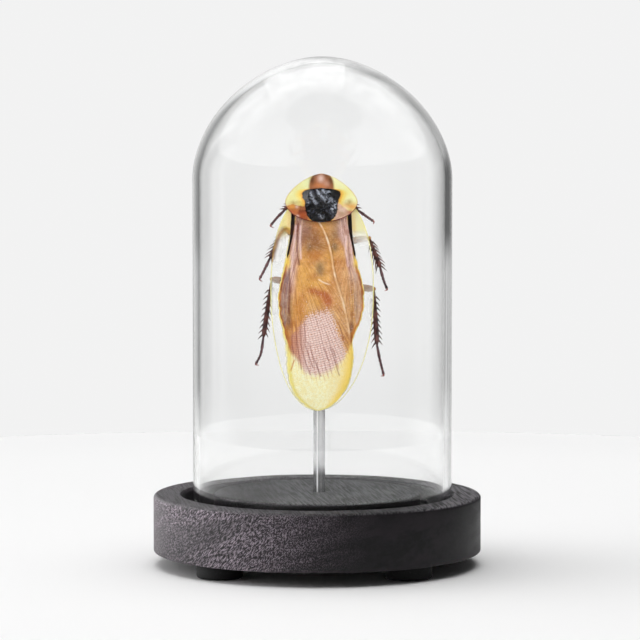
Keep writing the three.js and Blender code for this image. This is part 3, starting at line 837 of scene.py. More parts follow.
def blown(turn, height, radius):
    """Slow unevenness of hand-blown glass, mostly on the inside."""
    if radius >= DOME_RADIUS - DOME_WALL / 4:
        return 0.0
    waves = ripple(np.cos(turn) * UNEVEN_ROUND, np.sin(turn) * UNEVEN_ROUND, UNEVEN_WAVE, UNEVEN_SEED)
    fade = min(1.0, radius / UNEVEN_FADE)
    return UNEVEN * fade * waves * (0.6 + 0.4 * math.sin(height / UNEVEN_RISE))


def glass_dome():
    outer, inner, lip = DOME_RADIUS, DOME_RADIUS - DOME_WALL, DOME_WALL / 2
    wall = np.linspace(DOME_TOP - DOME_CAP, DOME_RIM + lip, 24)
    outline = cap_curve(inner, DOME_CAP - DOME_WALL, 40)[::-1]
    outline += [(inner, z) for z in wall[1:]]
    outline += rounded((inner + lip, DOME_RIM + lip), 180, 360, lip, 12)[1:]
    outline += [(outer, z) for z in wall[::-1][1:]]
    outline += cap_curve(outer, DOME_CAP, 44)[1:]
    shape = turned([(r, z, DOME_X) for r, z in outline], ROUND_STEPS, blown)
    piece("dome", shape, clear_glass(), "glass_dome")


def steel_rod():
    edge = ROD_RADIUS - ROD_BEVEL
    outline = [(HUB, ROD_BOTTOM), (edge, ROD_BOTTOM)]
    outline += rounded((edge, ROD_BOTTOM + ROD_BEVEL), -90, 0, ROD_BEVEL)
    outline += rounded((edge, ROD_TOP - ROD_BEVEL), 0, 90, ROD_BEVEL)
    outline += [(HUB, ROD_TOP)]
    shape = turned([(r, z, ROD_X) for r, z in outline], ROD_STEPS)
    piece("rod", shape, rod_steel(), "steel_rod")


# Wings

back_crown = curve([(0, 5.6), (15, 7.4), (30, 8.8), (45, 9.2), (57, 8.5), (61, 7.9)])
suture_above = curve([
    (15.4, 9.2), (24.6, 8.5), (33, 6.7), (42, 4.1), (49, 2.9), (54, 1.3), (57, -0.3), (60, -3),
])
hindwing_above = curve([(15.4, 9.5), (30, 9.5), (42, 9), (50, 7.6), (56, 5.2)])
core_half = curve([
    (0, 0.2), (1, 2.6), (2, 4.0), (4.4, 6.4), (8.6, 8.5), (11, 9.1), (15.4, 9.6), (20, 9.9), (23.8, 10.9),
    (28.4, 12.1), (33, 12.6), (37.5, 12.4), (42, 11.2), (46, 10.1), (52.3, 8.9), (58, 7.9), (60, 7.6),
])
tip_border = curve([
    (-12, 22), (-10.4, 20.6), (-8.9, 17.7), (-7.6, 16.4), (-5.8, 14.0), (-4.9, 12.2), (-3.6, 11.4),
    (0.4, 11.3), (1.8, 11.6), (3.1, 12.4), (4.5, 13.8), (6.5, 15.7), (7.5, 17.1), (8.9, 20.2), (12, 24),
])
stripe_middle = curve([(46.2, 10.25), (50, 9.5), (54, 8.8), (59.5, 8.4)])
rib_middle = curve([(26, 10.2), (30, 9.5), (40, 9.3), (45, 8.6), (51, 7.5), (56, 7.0), (59, 6.9)])
pink_top = curve([(-10, 22.5), (-7, 26), (-3.7, 29.5), (0.7, 31.2), (3, 31.6), (5, 31)])
border_width = curve([(12, 0.5), (17, 0.9), (20, 1.6), (23, 1.7), (26, 0.9), (32, 0.8), (44, 0.8), (47, 0.3)])
fringe_width = curve([(0, 0.9), (14, 1.2), (22, 1.4), (28, 0.8), (40, 0.7), (45, 1.3), (53, 1.3), (58, 0.8)])
RIGHT_FRINGE = 0.45
FAN_X, FAN_Y, BASE_OVERLAP = 9.2, 53.0, 2.2
FLANK_START, FLANK_VEINS = 0.68, 20.0
PLEAT_X, PLEAT_Y, PLEAT_HALF, PLEAT_LENGTH, PLEAT_RISE = -0.2, 21.0, 9.0, 11.5, 0.06
HIND_PLEAT_RISE, WAVE_RISE, WAVE_SIZE, WAVE_SEED = 0.07, 0.07, 9, 11
NOTCH_Y, NOTCH_LENGTH = 22.5, 4.0
BESIDE_STRIPE, BESIDE_WIDTH = 0.9, 0.9
STRIPE_HALF, STRIPE_SWELL, STRIPE_TAPER = 0.32, 0.28, 0.5
FOLD_X, FOLD_Y, FOLD_LEAN, FOLD_WIDTH = -7.4, 17, 0.28, 0.22
PINK_X, PINK_Y, PINK_LEAN = 2.0, 31.5, 0.385
FLANK_WIDENING, FLANK_STRETCH, FAINT = 0.2, 1.2, 0.4
HIND_SHARE, HIND_START, HIND_FAN_X, HIND_RAISE = 0.95, 1.4, 2, 0.1
# How much of its layer's thickness the sheet of a wing fills.
TEGMEN_FILL, HINDWING_FILL = 0.8, 0.6
# Between which two places a mark fades in or out along a wing.
LEFT_FLANK, RIGHT_FLANK, SLATE_FRONT, SLATE_REAR = (31, 40), (36, 44), (44, 40), (23, 26)
DARK_VEINS, SHOULDER, WIDE_FLANK = (29.5, 25), (51.5, 55.5), (30, 16)
FOLD_REAR, FOLD_FRONT, STRIPE_WIDE, STRIPE_END = (11.6, 13), (16.2, 15.2), (50, 57), (48.0, 45.2)
# The grids of a fore and a hind wing: where they start and end, their rows and their columns.
TEGMEN_GRID, HINDWING_GRID = (0.06, WING_BASE, 320, 150), (1.5, 56.0, 130, 46)

# Soft patches on the wings, as x, y, half width, half length and strength.
WING_PATCHES = {
    "smudge": (
        (-3.5, 49.7, 0.9, 1.2, 1.0), (-3.4, 55.6, 0.6, 0.5, 0.9), (4.0, 49.8, 0.9, 1.5, 1.0),
        (4.2, 53.5, 1.4, 2.6, 0.6), (-0.4, 42.8, 1.3, 1.7, 1.0), (-0.4, 44.8, 1.8, 1.2, 0.5),
        (-0.6, 49.9, 1.8, 1.1, 0.5), (-3.8, 52.3, 0.5, 0.4, 0.8),
    ),
    "ash": ((-4.9, 54.9, 1.9, 2.6, 1.0), (6.0, 56.4, 1.5, 1.8, 0.9), (5.4, 53.4, 1.4, 2.2, 0.8)),
    "blush": (
        (-2.6, 36.7, 1.6, 0.9, 0.9), (1.6, 34.4, 1.9, 1.8, 1.0), (-0.4, 35.9, 1.8, 1.0, 0.8),
        (2.2, 32.8, 1.2, 1.2, 0.7),
    ),
    "gold": (
        (-1.1, 32.9, 1.6, 1.6, 1.0), (-2.4, 38.7, 1.8, 1.3, 0.9), (-5.2, 42.5, 2.0, 4.0, 0.6),
        (2.6, 47.2, 1.4, 2.2, 0.8), (0.6, 55.6, 0.9, 1.6, 0.7), (1.6, 41.4, 1.4, 2.0, 0.5),
    ),
    "shade": (
        (-4.8, 53.8, 3.0, 3.8, 0.9), (-1.8, 51.8, 1.6, 2.4, 0.5), (-7.5, 56.8, 0.9, 1.5, 0.9),
        (-7.0, 53.0, 1.2, 3.0, 0.3),
    ),
    "peach": (
        (5.6, 38.5, 2.4, 8.0, 1.0), (7.4, 27.0, 1.8, 5.0, 0.9), (8.6, 40.0, 1.6, 6.0, 0.8),
        (4.4, 55.8, 2.2, 2.0, 0.6), (-1.6, 32.0, 2.2, 1.4, 0.8), (3.4, 29.6, 1.6, 2.4, 0.7),
    ),
    "orange": (
        (-2.2, 56.4, 1.6, 1.0, 0.9), (-6.4, 31.5, 1.8, 4.0, 0.8), (5.2, 43.5, 1.2, 3.0, 0.7),
        (-1.6, 47.0, 1.4, 2.0, 0.5),
    ),
    "milk": (
        (-12.2, 51.0, 1.2, 2.2, 0.6), (-13.2, 47.8, 1.2, 2.4, 0.6), (13.0, 51.6, 2.4, 1.6, 0.36),
        (-14.2, 33.5, 1.0, 4.5, 0.35), (14.9, 31.5, 1.0, 4.5, 0.2),
    ),
    "bruise": (
        (-9.8, 27.4, 0.7, 2.6, 0.9), (-9.2, 31.0, 0.7, 5.0, 0.6), (10.4, 30.4, 0.5, 3.4, 0.4),
        (9.0, 25.6, 0.8, 2.6, 0.9),
    ),
    "wedge": ((-9.9, 45.2, 0.7, 1.7, 1.0), (10.2, 45.3, 0.7, 1.7, 1.0)),
}

# Strokes on the wings: dark veins among the pleats, ribs beside the body, and the painted shadow of
# a leg seen through the shoulder.
VEINS = (
    ((-8.7, 28.8), (-8.6, 20.0), (-8.0, 17.6)),
    ((-7.6, 28.8), (-7.2, 20.6), (-6.5, 17.6), (-5.9, 14.5), (-5.6, 12.7)),
    ((-6.2, 28.0), (-5.9, 20.3), (-5.3, 17.6), (-4.4, 14.8), (-3.5, 12.7), (-2.9, 11.2)),
    ((-5.0, 27.4), (-4.7, 20.3), (-3.8, 17.6), (-2.9, 15.1), (-2.2, 13.3)),
    ((-3.8, 21.0), (-2.9, 18.2), (-1.9, 15.7), (-1.0, 13.6), (0.2, 10.6)),
    ((0.8, 19.1), (1.7, 16.7), (2.3, 15.4)),
    ((2.6, 19.4), (3.5, 17.3), (4.5, 14.2), (5.1, 12.4), (5.7, 10.9)),
    ((3.5, 19.1), (4.5, 16.3)),
    ((3.6, 31.4), (5.2, 26.6), (6.6, 22.0)),
)
RIBS = (
    ((-7.0, 57.3), (-7.1, 54.2), (-7.3, 50.3), (-7.0, 46.9), (-6.5, 44.5)),
    ((-9.6, 43.2), (-9.4, 38.0), (-9.5, 33.5), (-9.7, 29.8)),
)
FAINT_RIBS = (
    ((8.0, 54.2), (8.0, 48.7), (8.7, 42.6), (9.6, 36.5), (10.3, 31.9)),
    ((8.7, 40.5), (9.2, 34.0), (9.4, 28.0)),
    ((7.9, 40.5), (8.4, 34.0), (8.9, 29.0)),
)
PALE_RIBS = (
    ((-7.6, 56.1), (-8.0, 51.8), (-8.5, 47.2), (-8.9, 42.6)),
    ((-6.2, 56.1), (-6.4, 51.8), (-6.1, 46.3)),
    ((8.6, 56.0), (8.8, 51.0), (9.5, 45.0)),
    ((7.3, 53.0), (7.4, 48.0), (8.0, 44.0)),
)
KNEE = (
    (-9.4, 54.0), (-10.5, 55.0), (-11.4, 55.0), (-12.3, 54.0), (-13.4, 51.5), (-14.4, 48.1), (-15.0, 45.6),
)
VEIN_WIDTH, RIB_WIDTH, FAINT_RIB_WIDTH, PALE_RIB_WIDTH, KNEE_WIDTH = 0.16, 0.26, 0.24, 0.3, 0.75
CREASE_START, CREASE_END, CREASE_SAG, CREASE_WIDTH = (-1.2, 40.3), (3.0, 38.5), 0.35, 0.16


def side_name(side):
    return "left" if side < 0 else "right"


def wing_reach(y, side):
    """How far a closed wing reaches from the middle to its outer edge."""
    power = np.where(y < WING_WIDEST, 2.0, WING_FRONT_POWER)
    t = np.abs(y - WING_WIDEST) / np.where(y < WING_WIDEST, WING_WIDEST, WING_FRONT)
    return (WING_LEFT if side < 0 else WING_RIGHT) * np.clip(1 - t ** power, 0, 1) ** (1 / power)


def round_tip(y, half):
    t = np.clip(y / TIP_LENGTH, 0, 1)
    return half * np.sqrt(1 - (1 - t) ** 2)


def suture_edge(y):
    return np.where(y < TIP_LENGTH, round_tip(y, SUTURE_HALF), suture_above(y))


def wing_grid(edges, start, base, rows, columns):
    """Places across and along a wing, closer together at the round tip."""
    t = np.linspace(0, 1, rows)[:, None]
    y = start + (base - start) * (0.25 * t + 0.75 * t ** 1.7) + np.zeros((1, columns))
    inner, outer = edges(y)
    across = np.linspace(0, 1, columns)[None, :]
    across = across - 0.09 * np.sin(math.tau * across)
    return inner + (outer - inner) * across, y


def wing_sheet(x, y, lift, thickness, relief):
    """The closed sheet of a wing on the back, its two faces parallel and its tip leaning to the left."""
    lean = TIP_LEAN * np.clip(1 - y / TIP_LEAN_LENGTH, 0, 1) ** 2
    bottom = back_crown(y) - SIDE_DROP * (x / BACK_HALF) ** 2 + lift + relief
    return closed_sheet(x + lean, y, bottom + thickness, bottom)


def vein_fields(x, y, side):
    """Which vein a place lies on, and how far out along it.

    Veins fan out from the shoulder across the wing, and run beside the edge along the flank.
    """
    dx, dy = x * -side + FAN_X, FAN_Y - y
    fan, reach = np.degrees(np.arctan2(dx, dy)), np.hypot(dx, dy)
    flank = x * side / core_half(y)
    beside = flank > FLANK_START - FLANK_WIDENING * step(*WIDE_FLANK, y)
    return np.where(beside, FLANK_VEINS * flank, fan), np.where(beside, FLANK_STRETCH * (FAN_Y - y), reach)


def crease_line(x, y):
    """A short pale fold over the middle of the back."""
    t = np.clip((x - CREASE_START[0]) / (CREASE_END[0] - CREASE_START[0]), 0, 1)
    middle = CREASE_START[1] + (CREASE_END[1] - CREASE_START[1]) * t - CREASE_SAG * np.sin(math.pi * t)
    return step(0, 0.15, t) * step(1, 0.7, t) * line(y - middle, CREASE_WIDTH)


def fold_line(x, y):
    """A short slanting fold beside the yellow tip, on the left."""
    offset = x - FOLD_X + FOLD_LEAN * (FOLD_Y - y)
    return line(offset, FOLD_WIDTH) * step(*FOLD_REAR, y) * step(*FOLD_FRONT, y)


def flank_field(from_rib, y, side):
    if side < 0:
        return step(-2.6, -0.6, from_rib) * step(*LEFT_FLANK, y)
    return step(-1.7, -0.2, from_rib + step(49, 53, y)) * step(*RIGHT_FLANK, y)


def stroke_fields(x, y):
    """Lines drawn on a fore wing."""
    ribs = np.maximum(strokes(x, y, RIBS, RIB_WIDTH), FAINT * strokes(x, y, FAINT_RIBS, FAINT_RIB_WIDTH))
    return {
        "rib": ribs,
        "pale_rib": strokes(x, y, PALE_RIBS, PALE_RIB_WIDTH),
        "dark_vein": strokes(x, y, VEINS, VEIN_WIDTH) * step(*DARK_VEINS, y),
        "knee": strokes(x, y, (KNEE,), KNEE_WIDTH),
        "fold": fold_line(x, y),
        "crease": crease_line(x, y),
    }


def tegmen_fields(x, y, side):
    """What the paint of a fore wing needs to know of each place on it."""
    vein, reach = vein_fields(x, y, side)
    from_rib, from_stripe = np.abs(x) - rib_middle(y), np.abs(x) - stripe_middle(y)
    stripe_half = STRIPE_HALF + STRIPE_SWELL * step(*STRIPE_WIDE, y) - STRIPE_TAPER * step(*STRIPE_END, y)
    fields = {name: spots(x, y, places) for name, places in WING_PATCHES.items()}
    fields.update(stroke_fields(x, y))
    fields.update({
        "across": x, "along": y, "vein": vein, "reach": reach,
        "core": core_half(y) - np.abs(x) - (line(y - NOTCH_Y, NOTCH_LENGTH) if side > 0 else 0.0),
        "border": border_width(y),
        "fringe": fringe_width(y) if side < 0 else RIGHT_FRINGE + 0 * y,
        "tip": tip_border(x) - y,
        "pleat": step(1.3, 0.7, np.hypot((x - PLEAT_X) / PLEAT_HALF, (y - PLEAT_Y) / PLEAT_LENGTH)),
        "pink": step(-1.6, 3.2, pink_top(x) - y) * step(-2.2, 1.8, PINK_X + PINK_LEAN * (PINK_Y - y) - x),
        "flank": flank_field(from_rib, y, side),
        "costal": step(0.0, 0.7, from_rib) * step(*SLATE_FRONT, y) * step(*SLATE_REAR, y),
        "shoulder": step(*SHOULDER, y),
        "beside": line(from_stripe - BESIDE_STRIPE, BESIDE_WIDTH),
        "stripe": stripe_half - np.abs(from_stripe),
    })
    return fields


def tegmen(side):
    """A fore wing; the left one, side -1, lies over the right one."""
    def edges(y):
        outer, inner = wing_reach(y, side), suture_edge(y)
        return (-outer, inner) if side < 0 else (-np.maximum(inner, BASE_OVERLAP), outer)

    x, y = wing_grid(edges, *TEGMEN_GRID)
    start, end = edges(y)
    fields = tegmen_fields(x, y, side)
    fields["rim"], fields["suture"] = (x - start, end - x) if side < 0 else (end - x, x - start)
    pleats = PLEAT_RISE * np.cos(math.tau * fields["vein"] / PLEAT_STEP)
    pleats *= (0.2 + fields["pleat"]) * step(0, 2, fields["core"])
    relief = pleats + WAVE_RISE * ripple(x, y, WAVE_SIZE, WAVE_SEED) * step(0, 4, y)
    lift = 0.0 if side < 0 else -TEGMEN_THICK - LAYER_GAP
    shape = wing_sheet(x, y, lift, TEGMEN_THICK * TEGMEN_FILL, relief)
    name = side_name(side)
    fields = both_faces(fields)
    insect_piece(f"{name}_fore_wing", shape, MEMBRANE, f"{name}_tegmen", fields)


def hindwing(side):
    def edges(y):
        tip = round_tip(y - HIND_START, TIP_HALF)
        outer = HIND_SHARE * np.where(y < TIP_LENGTH, tip, hindwing_above(y))
        gap = LAYER_GAP / 2
        return (-outer - gap, -gap + 0 * y) if side < 0 else (gap + 0 * y, outer + gap)

    x, y = wing_grid(edges, *HINDWING_GRID)
    vein = np.degrees(np.arctan2(np.abs(x) + HIND_FAN_X, FAN_Y - y))
    relief = HIND_PLEAT_RISE * np.cos(math.tau * vein / HIND_PLEAT_STEP) * step(0, 6, y)
    fields = both_faces({"vein": vein, "tip": tip_border(x) - y})
    lift = -TEGMEN_THICK - 3 * LAYER_GAP - HINDWING_THICK + HIND_RAISE
    shape = wing_sheet(x, y, lift, HINDWING_THICK * HINDWING_FILL, relief)
    name = side_name(side)
    insect_piece(f"{name}_folded_wing", shape, HIND_MEMBRANE, f"{name}_hindwing", fields)


# Shield

shield_crown = curve([(57.3, 10.3), (60, 11.3), (63.5, 11.7), (67, 10.7), (70, 9), (71.9, 7.4)])
shield_edge = curve([(57.3, 10.1), (59, 9.4), (61, 8.5), (63.5, 7.8), (67, 7), (70, 6.9), (71.9, 7.2)])
mark_half = curve([
    (57.2, 0), (57.6, 2.2), (58.3, 3.4), (60, 4.5), (62, 4.9), (63.4, 4.9), (64.3, 5.3), (66.0, 5.7),
    (66.6, 5.3), (67.2, 3.6), (67.6, 0),
])
wrinkle_right = curve([(57.2, 2.0), (60, 4.6), (63.1, 5.0), (66.5, 2.9), (67.6, 2.2)])
wrinkle_left = curve([(57.2, 2.0), (60, 4.6), (62, 4.8), (64, 4.5), (66, 4.0), (67.6, 3.2)])
MARK_REAR, MARK_FRONT = 57.2, 67.6
HUMP_HALF, HUMP_Y, HUMP_LENGTH, HUMP_POWER, HUMP_REAR = 3.65, 67.4, 4.3, 2.8, 66.6
SHIELD_ROWS, SHIELD_COLUMNS = 130, 130
# Where the rear corners take their own colours: between two places on the left, below a slant on the right.
LEFT_CORNER, RAGGED_RISE, SLANT, SLANT_TOP, SLANT_FADE = (63.0, 61.6), 0.3, 0.735, 66.8, (-0.7, 0.7)
OFF_MIDDLE = (2.5, 5.0)
HUMP_RISE, FOLD_RISE, GLEAM_RISE, SWELL_RISE, SHIELD_BULGE = 0.4, 0.4, 0.25, 0.06, 1.4
# The wrinkled centre's large and small folds, the whole shield's swell and the ragged corner:
# the size of their waves and a seed.
LARGE_FOLDS, SMALL_FOLDS, SHIELD_SWELL, RAGGED = (2.6, 3), (1.3, 4), (5, 8), (1.8, 9)

# Soft patches on the shield, as x, y, half width, half length and strength.
SHIELD_PATCHES = {
    "olive": (
        (-7.6, 63.2, 1.3, 0.6, 1.0), (-6.2, 62.6, 0.8, 0.6, 0.6), (8.0, 63.3, 1.0, 0.8, 1.0),
        (6.1, 59.9, 1.2, 0.7, 0.7),
    ),
    "orange": ((-8.8, 61.9, 1.4, 0.8, 1.0), (9.3, 61.9, 1.5, 1.0, 1.0), (7.4, 62.4, 1.2, 0.7, 0.6)),
    "rust": ((-8.9, 60.4, 1.7, 0.6, 0.9), (-5.5, 59.4, 1.6, 1.0, 1.0), (8.7, 60.4, 0.9, 0.6, 0.9)),
    # Painted highlights on the rear corners.
    "pale": ((-7.1, 59.1, 0.5, 0.4, 1.0), (-7.3, 61.9, 0.45, 0.4, 0.8), (6.9, 61.4, 0.9, 0.9, 0.5)),
    "hood_glow": ((-0.7, 68.4, 2.0, 0.9, 1.0), (2.0, 68.5, 0.9, 0.9, 0.4)),
    "hood_dark": (
        (-2.8, 69.7, 0.9, 1.4, 1.0), (2.8, 69.6, 0.8, 1.6, 0.75), (-1.9, 71.4, 0.9, 0.5, 0.6),
        (2.0, 71.4, 0.9, 0.5, 0.6),
    ),
    # A painted highlight on the hump.
    "glint": ((-0.15, 70.4, 0.95, 1.1, 1.0), (1.6, 68.9, 0.9, 0.8, 0.35)),
}

# Folds in the black centre, lifted a little, with painted highlights along them.
GLEAMS = (
    ((-3.3, 66.2), (-2.7, 64.6), (-1.6, 63.1)),
    ((-1.3, 66.8), (-0.4, 65.5)),
    ((0.5, 66.8), (1.4, 66.2), (2.6, 66.5)),
    ((-0.1, 65.2), (1.1, 64.0), (2.3, 63.4)),
    ((1.4, 65.2), (2.9, 64.3), (4.2, 63.1), (3.9, 60.6)),
    ((3.2, 61.9), (3.6, 60.6)),
    ((-0.7, 59.4), (0.2, 58.8)),
    ((-4.4, 64.0), (-4.1, 63.1)),
)
GLEAM_WIDTH = 0.42


def shield_half(y):
    behind = np.clip((SHIELD_WIDEST - y) / (SHIELD_WIDEST - SHIELD_REAR), 0, 1)
    ahead = np.clip((y - SHIELD_WIDEST) / (SHIELD_FRONT - SHIELD_WIDEST), 0, 1)
    front = np.clip(1 - ahead ** SHIELD_POWER, 0, 1) ** (1 / SHIELD_POWER)
    return SHIELD_HALF * np.sqrt(1 - behind ** 2) * front


def shield_grid():
    """Shares of the half width, and places along the shield, closer together at its ends."""
    t = np.linspace(0.012, 0.995, SHIELD_ROWS)[:, None]
    along = 0.5 - 0.5 * np.cos(math.pi * t) + np.zeros((1, SHIELD_COLUMNS))
    share = np.linspace(-1, 1, SHIELD_COLUMNS)[None, :]
    return share + 0.12 * np.sin(math.pi * share), SHIELD_REAR + (SHIELD_FRONT - SHIELD_REAR) * along


def mark_field(x, y):
    """How far inside the black centre a place lies."""
    mark = np.minimum(mark_half(y) - np.abs(x), 3.0)
    outside = -np.hypot(np.maximum(np.abs(x) - 1, 0), 0.4) - 0.3
    return np.where((y > MARK_FRONT) | (y < MARK_REAR), outside, mark)


def hump_field(x, y):
    """How far inside the hump over the head a place lies."""
    t = np.abs((y - HUMP_Y) / HUMP_LENGTH)
    hump = HUMP_HALF * np.clip(1 - t ** HUMP_POWER, 0, 1) ** (1 / HUMP_POWER) - np.abs(x)
    return np.where(y < HUMP_REAR, -1.0, hump)


def corner_field(x, y):
    left = step(*LEFT_CORNER, y + RAGGED_RISE * ripple(x, y, *RAGGED))
    right = step(*SLANT_FADE, SLANT_TOP - SLANT * x - y)
    return np.where(x < 0, left, right) * step(*OFF_MIDDLE, np.abs(x))


def pronotum():
    share, y = shield_grid()
    half = shield_half(y)
    x = half * share
    rim, mark, hump = half - np.abs(x), mark_field(x, y), hump_field(x, y)
    wrinkle_half = np.where(x > 0, wrinkle_right(y), wrinkle_left(y))
    wrinkled = step(0, 0.7, wrinkle_half - np.abs(x)) * step(-0.1, 0.7, mark)
    gleam = strokes(x, y, GLEAMS, GLEAM_WIDTH)
    rear = (SHIELD_WIDEST - SHIELD_REAR) * np.sqrt(np.clip(1 - (x / SHIELD_HALF) ** 2, 0, 1))
    fields = {name: spots(x, y, places) for name, places in SHIELD_PATCHES.items()}
    fields.update({
        "mark": mark, "hump": hump, "corner": corner_field(x, y), "side": x / SHIELD_HALF,
        "rim": np.minimum(rim, SHIELD_FRONT - y + 0.2 * np.abs(x)),
        "tail": y - SHIELD_WIDEST + rear,
        "gleam": gleam * wrinkled, "wrinkled": wrinkled,
    })
    folds = 0.5 - np.abs(ripple(x, y, *LARGE_FOLDS)) - 0.6 * np.abs(ripple(x, y, *SMALL_FOLDS))
    top = shield_edge(y) + (shield_crown(y) - shield_edge(y)) * (1 - share ** 2) ** SHIELD_BULGE
    top = top + HUMP_RISE * step(-0.4, 1.2, hump) * step(66.5, 68.5, y)
    top = top + (FOLD_RISE * folds + GLEAM_RISE * gleam) * wrinkled
    top = top + SWELL_RISE * ripple(x, y, *SHIELD_SWELL)
    thin = SHIELD_THICK * (0.35 + 0.65 * step(0, 1.6, rim))
    shape = closed_sheet(x, y, top, top - thin)
    insect_piece("shield", shape, shield_cuticle(), "pronotum", both_faces(fields))


# Body and head

body_half = curve([
    (15, 3.4), (17, 6.6), (20, 8.8), (24, 10.0), (28.4, 11.8), (33, 12.6), (37.5, 12.3), (42, 11),
    (46, 9.8), (52, 8.4), (58, 6.4), (63, 4),
])
body_top = curve([(15, 3.6), (20, 4.8), (30, 6.1), (45, 6.6), (57, 6.2), (63, 6)])
body_bottom = curve([(15, 2.2), (20, 0.9), (30, 0.2), (45, 0), (57, 0), (63, 1)])
ABDOMEN_START, ABDOMEN_END, THORAX_END = 15.0, 45.0, 63
SEGMENTS, SEGMENT_STEP, SEGMENT_RINGS, THORAX_RINGS, BODY_SIDES = 7, 0.3, 12, 40, 72
BODY_RIM, CERCUS_HEM = 0.45, 0.3
CERCUS, CERCUS_STEPS, CERCUS_RADII = ((4.5, 18, 2.4), (6.6, 14.6, 2.2), (7.4, 11.8, 2.0)), 12, (0.75, 0.08)
PALP, PALP_STEPS, PALP_RADII = ((1.2, 65.4, -1.0), (2.4, 64.4, -1.7), (2.2, 62.9, -2.0)), 14, (0.34, 0.2)
# Round parts of the head, as a centre and three radii.
FACE, EYE = ((0, 67.2, 2.9), (3.35, 3.6, 4.15)), ((2.75, 68.2, 2.2), (0.85, 1.75, 1.6))
MOUTH, CHIN = ((0, 66.2, -0.9), (1.7, 1.7, 1.35)), ((0, 65.2, -1.5), (1.15, 1.0, 0.9))


def paired_path(route, side, steps):
    return smooth_path([(side * x, y, z) for x, y, z in route], steps)


def body_stations():
    """Where the body's rings stand, how far each one shrinks, and how near it is to a segment's hem."""
    length = (ABDOMEN_END - ABDOMEN_START) / SEGMENTS
    stations = []
    for i in range(SEGMENTS):
        for t in np.linspace(0, 1, SEGMENT_RINGS, endpoint=False):
            stations.append((ABDOMEN_START + (i + t) * length, -SEGMENT_STEP * step(0.0, 1.0, t), 1 - t))
    thorax = np.linspace(ABDOMEN_END, THORAX_END, THORAX_RINGS)
    return stations + [(y, 0.12 * math.cos(y * 1.1) - 0.1, 0.0) for y in thorax]


def body():
    turn = full_turn(BODY_SIDES)
    stations = body_stations()
    rings = []
    for y, shrink, _ in stations:
        half, top, bottom = body_half(y) + shrink, body_top(y) + shrink, body_bottom(y) - shrink
        rim = bottom + (top - bottom) * BODY_RIM
        reach = np.where(np.sin(turn) > 0, top - rim, rim - bottom)
        rings.append(np.stack([half * np.cos(turn), y + 0 * turn, rim + reach * np.sin(turn)], -1)[::-1])
    taper = np.linspace(*CERCUS_RADII, CERCUS_STEPS) * (1 + 0.12 * np.cos(np.arange(CERCUS_STEPS) * 3.1))
    cerci = [tube(paired_path(CERCUS, side, CERCUS_STEPS), taper, 10, 0.6) for side in (-1, 1)]
    shape = join([ring_skin(rings), *cerci])
    hem = np.full(len(shape[0]), CERCUS_HEM)
    hems = np.repeat([station[2] for station in stations], BODY_SIDES)
    hem[:len(hems) + 2] = [*hems, 1.0, 0.0]
    fields = {"hem": hem, "eye": 0 * hem}
    insect_piece("thorax_and_abdomen", shape, CUTICLE, "body", fields)


def head():
    face = ball(*FACE, 48, 32)
    (eye_x, eye_y, eye_z), eye_radii = EYE
    eyes = [ball((side * eye_x, eye_y, eye_z), eye_radii, 28, 20) for side in (-1, 1)]
    mouth = [ball(*MOUTH, 24, 16), ball(*CHIN, 20, 14)]
    taper = np.linspace(*PALP_RADII, PALP_STEPS)
    palps = [tube(paired_path(PALP, side, PALP_STEPS), taper, 10) for side in (-1, 1)]
    shape = join([face, *eyes, *mouth, *palps])
    eye = np.zeros(len(shape[0]))
    eye[len(face[0]):len(face[0]) + 2 * len(eyes[0][0])] = 1
    insect_piece("head_capsule", shape, CUTICLE, "head", {"hem": 0 * eye, "eye": eye})


# Limbs

# Each leg's hip, the joint after it, knee, ankle, and three places along the toes.
LEGS = {
    "left_front_leg": (
        (-3.9, 61.5, -0.9), (-4.9, 57.4, -1.2), (-8.4, 63.8, 1.2), (-11.1, 60.6, 1.4),
        (-13.5, 58.2, 1.2), (-15.1, 56.3, 0.9), (-14.4, 55.2, 0.5),
    ),
    "right_front_leg": (
        (3.9, 61.5, -0.9), (4.9, 57.4, -1.2), (8.2, 64, 1.2), (11, 60.6, 1.4),
        (13.9, 58.5, 1.2), (15.5, 57.4, 0.9), (15.7, 56.3, 0.5),
    ),
    "left_middle_leg": (
        (-3.9, 54.4, -1.3), (-5.8, 50.6, -1.4), (-10.9, 55.2, 1.6), (-15.6, 46, 2),
        (-17.6, 42, 1.6), (-18.6, 40.2, 1.2), (-18, 38.9, 0.8),
    ),
    "right_middle_leg": (
        (3.9, 54.4, -1.3), (5.8, 50.6, -1.4), (14.5, 52.2, 1.6), (17.8, 43.2, 2),
        (19, 39, 1.6), (19.8, 37, 1.2), (19.2, 36.1, 0.8),
    ),
    "left_hind_leg": (
        (-4, 47, -1.3), (-6.2, 38.2, -1.3), (-15.0, 39.7, 1.2), (-17.7, 21.9, 1.5),
        (-18.9, 16.1, 1.1), (-20, 14.2, 0.8), (-19.3, 13.4, 0.4),
    ),
    "right_hind_leg": (
        (4, 47, -1.3), (6.2, 37.6, -1.3), (15.9, 36.7, 1.2), (16.9, 19.6, 1.5),
        (17.8, 15.1, 1.1), (18.9, 10.8, 0.8), (18.1, 10.1, 0.4),
    ),
}
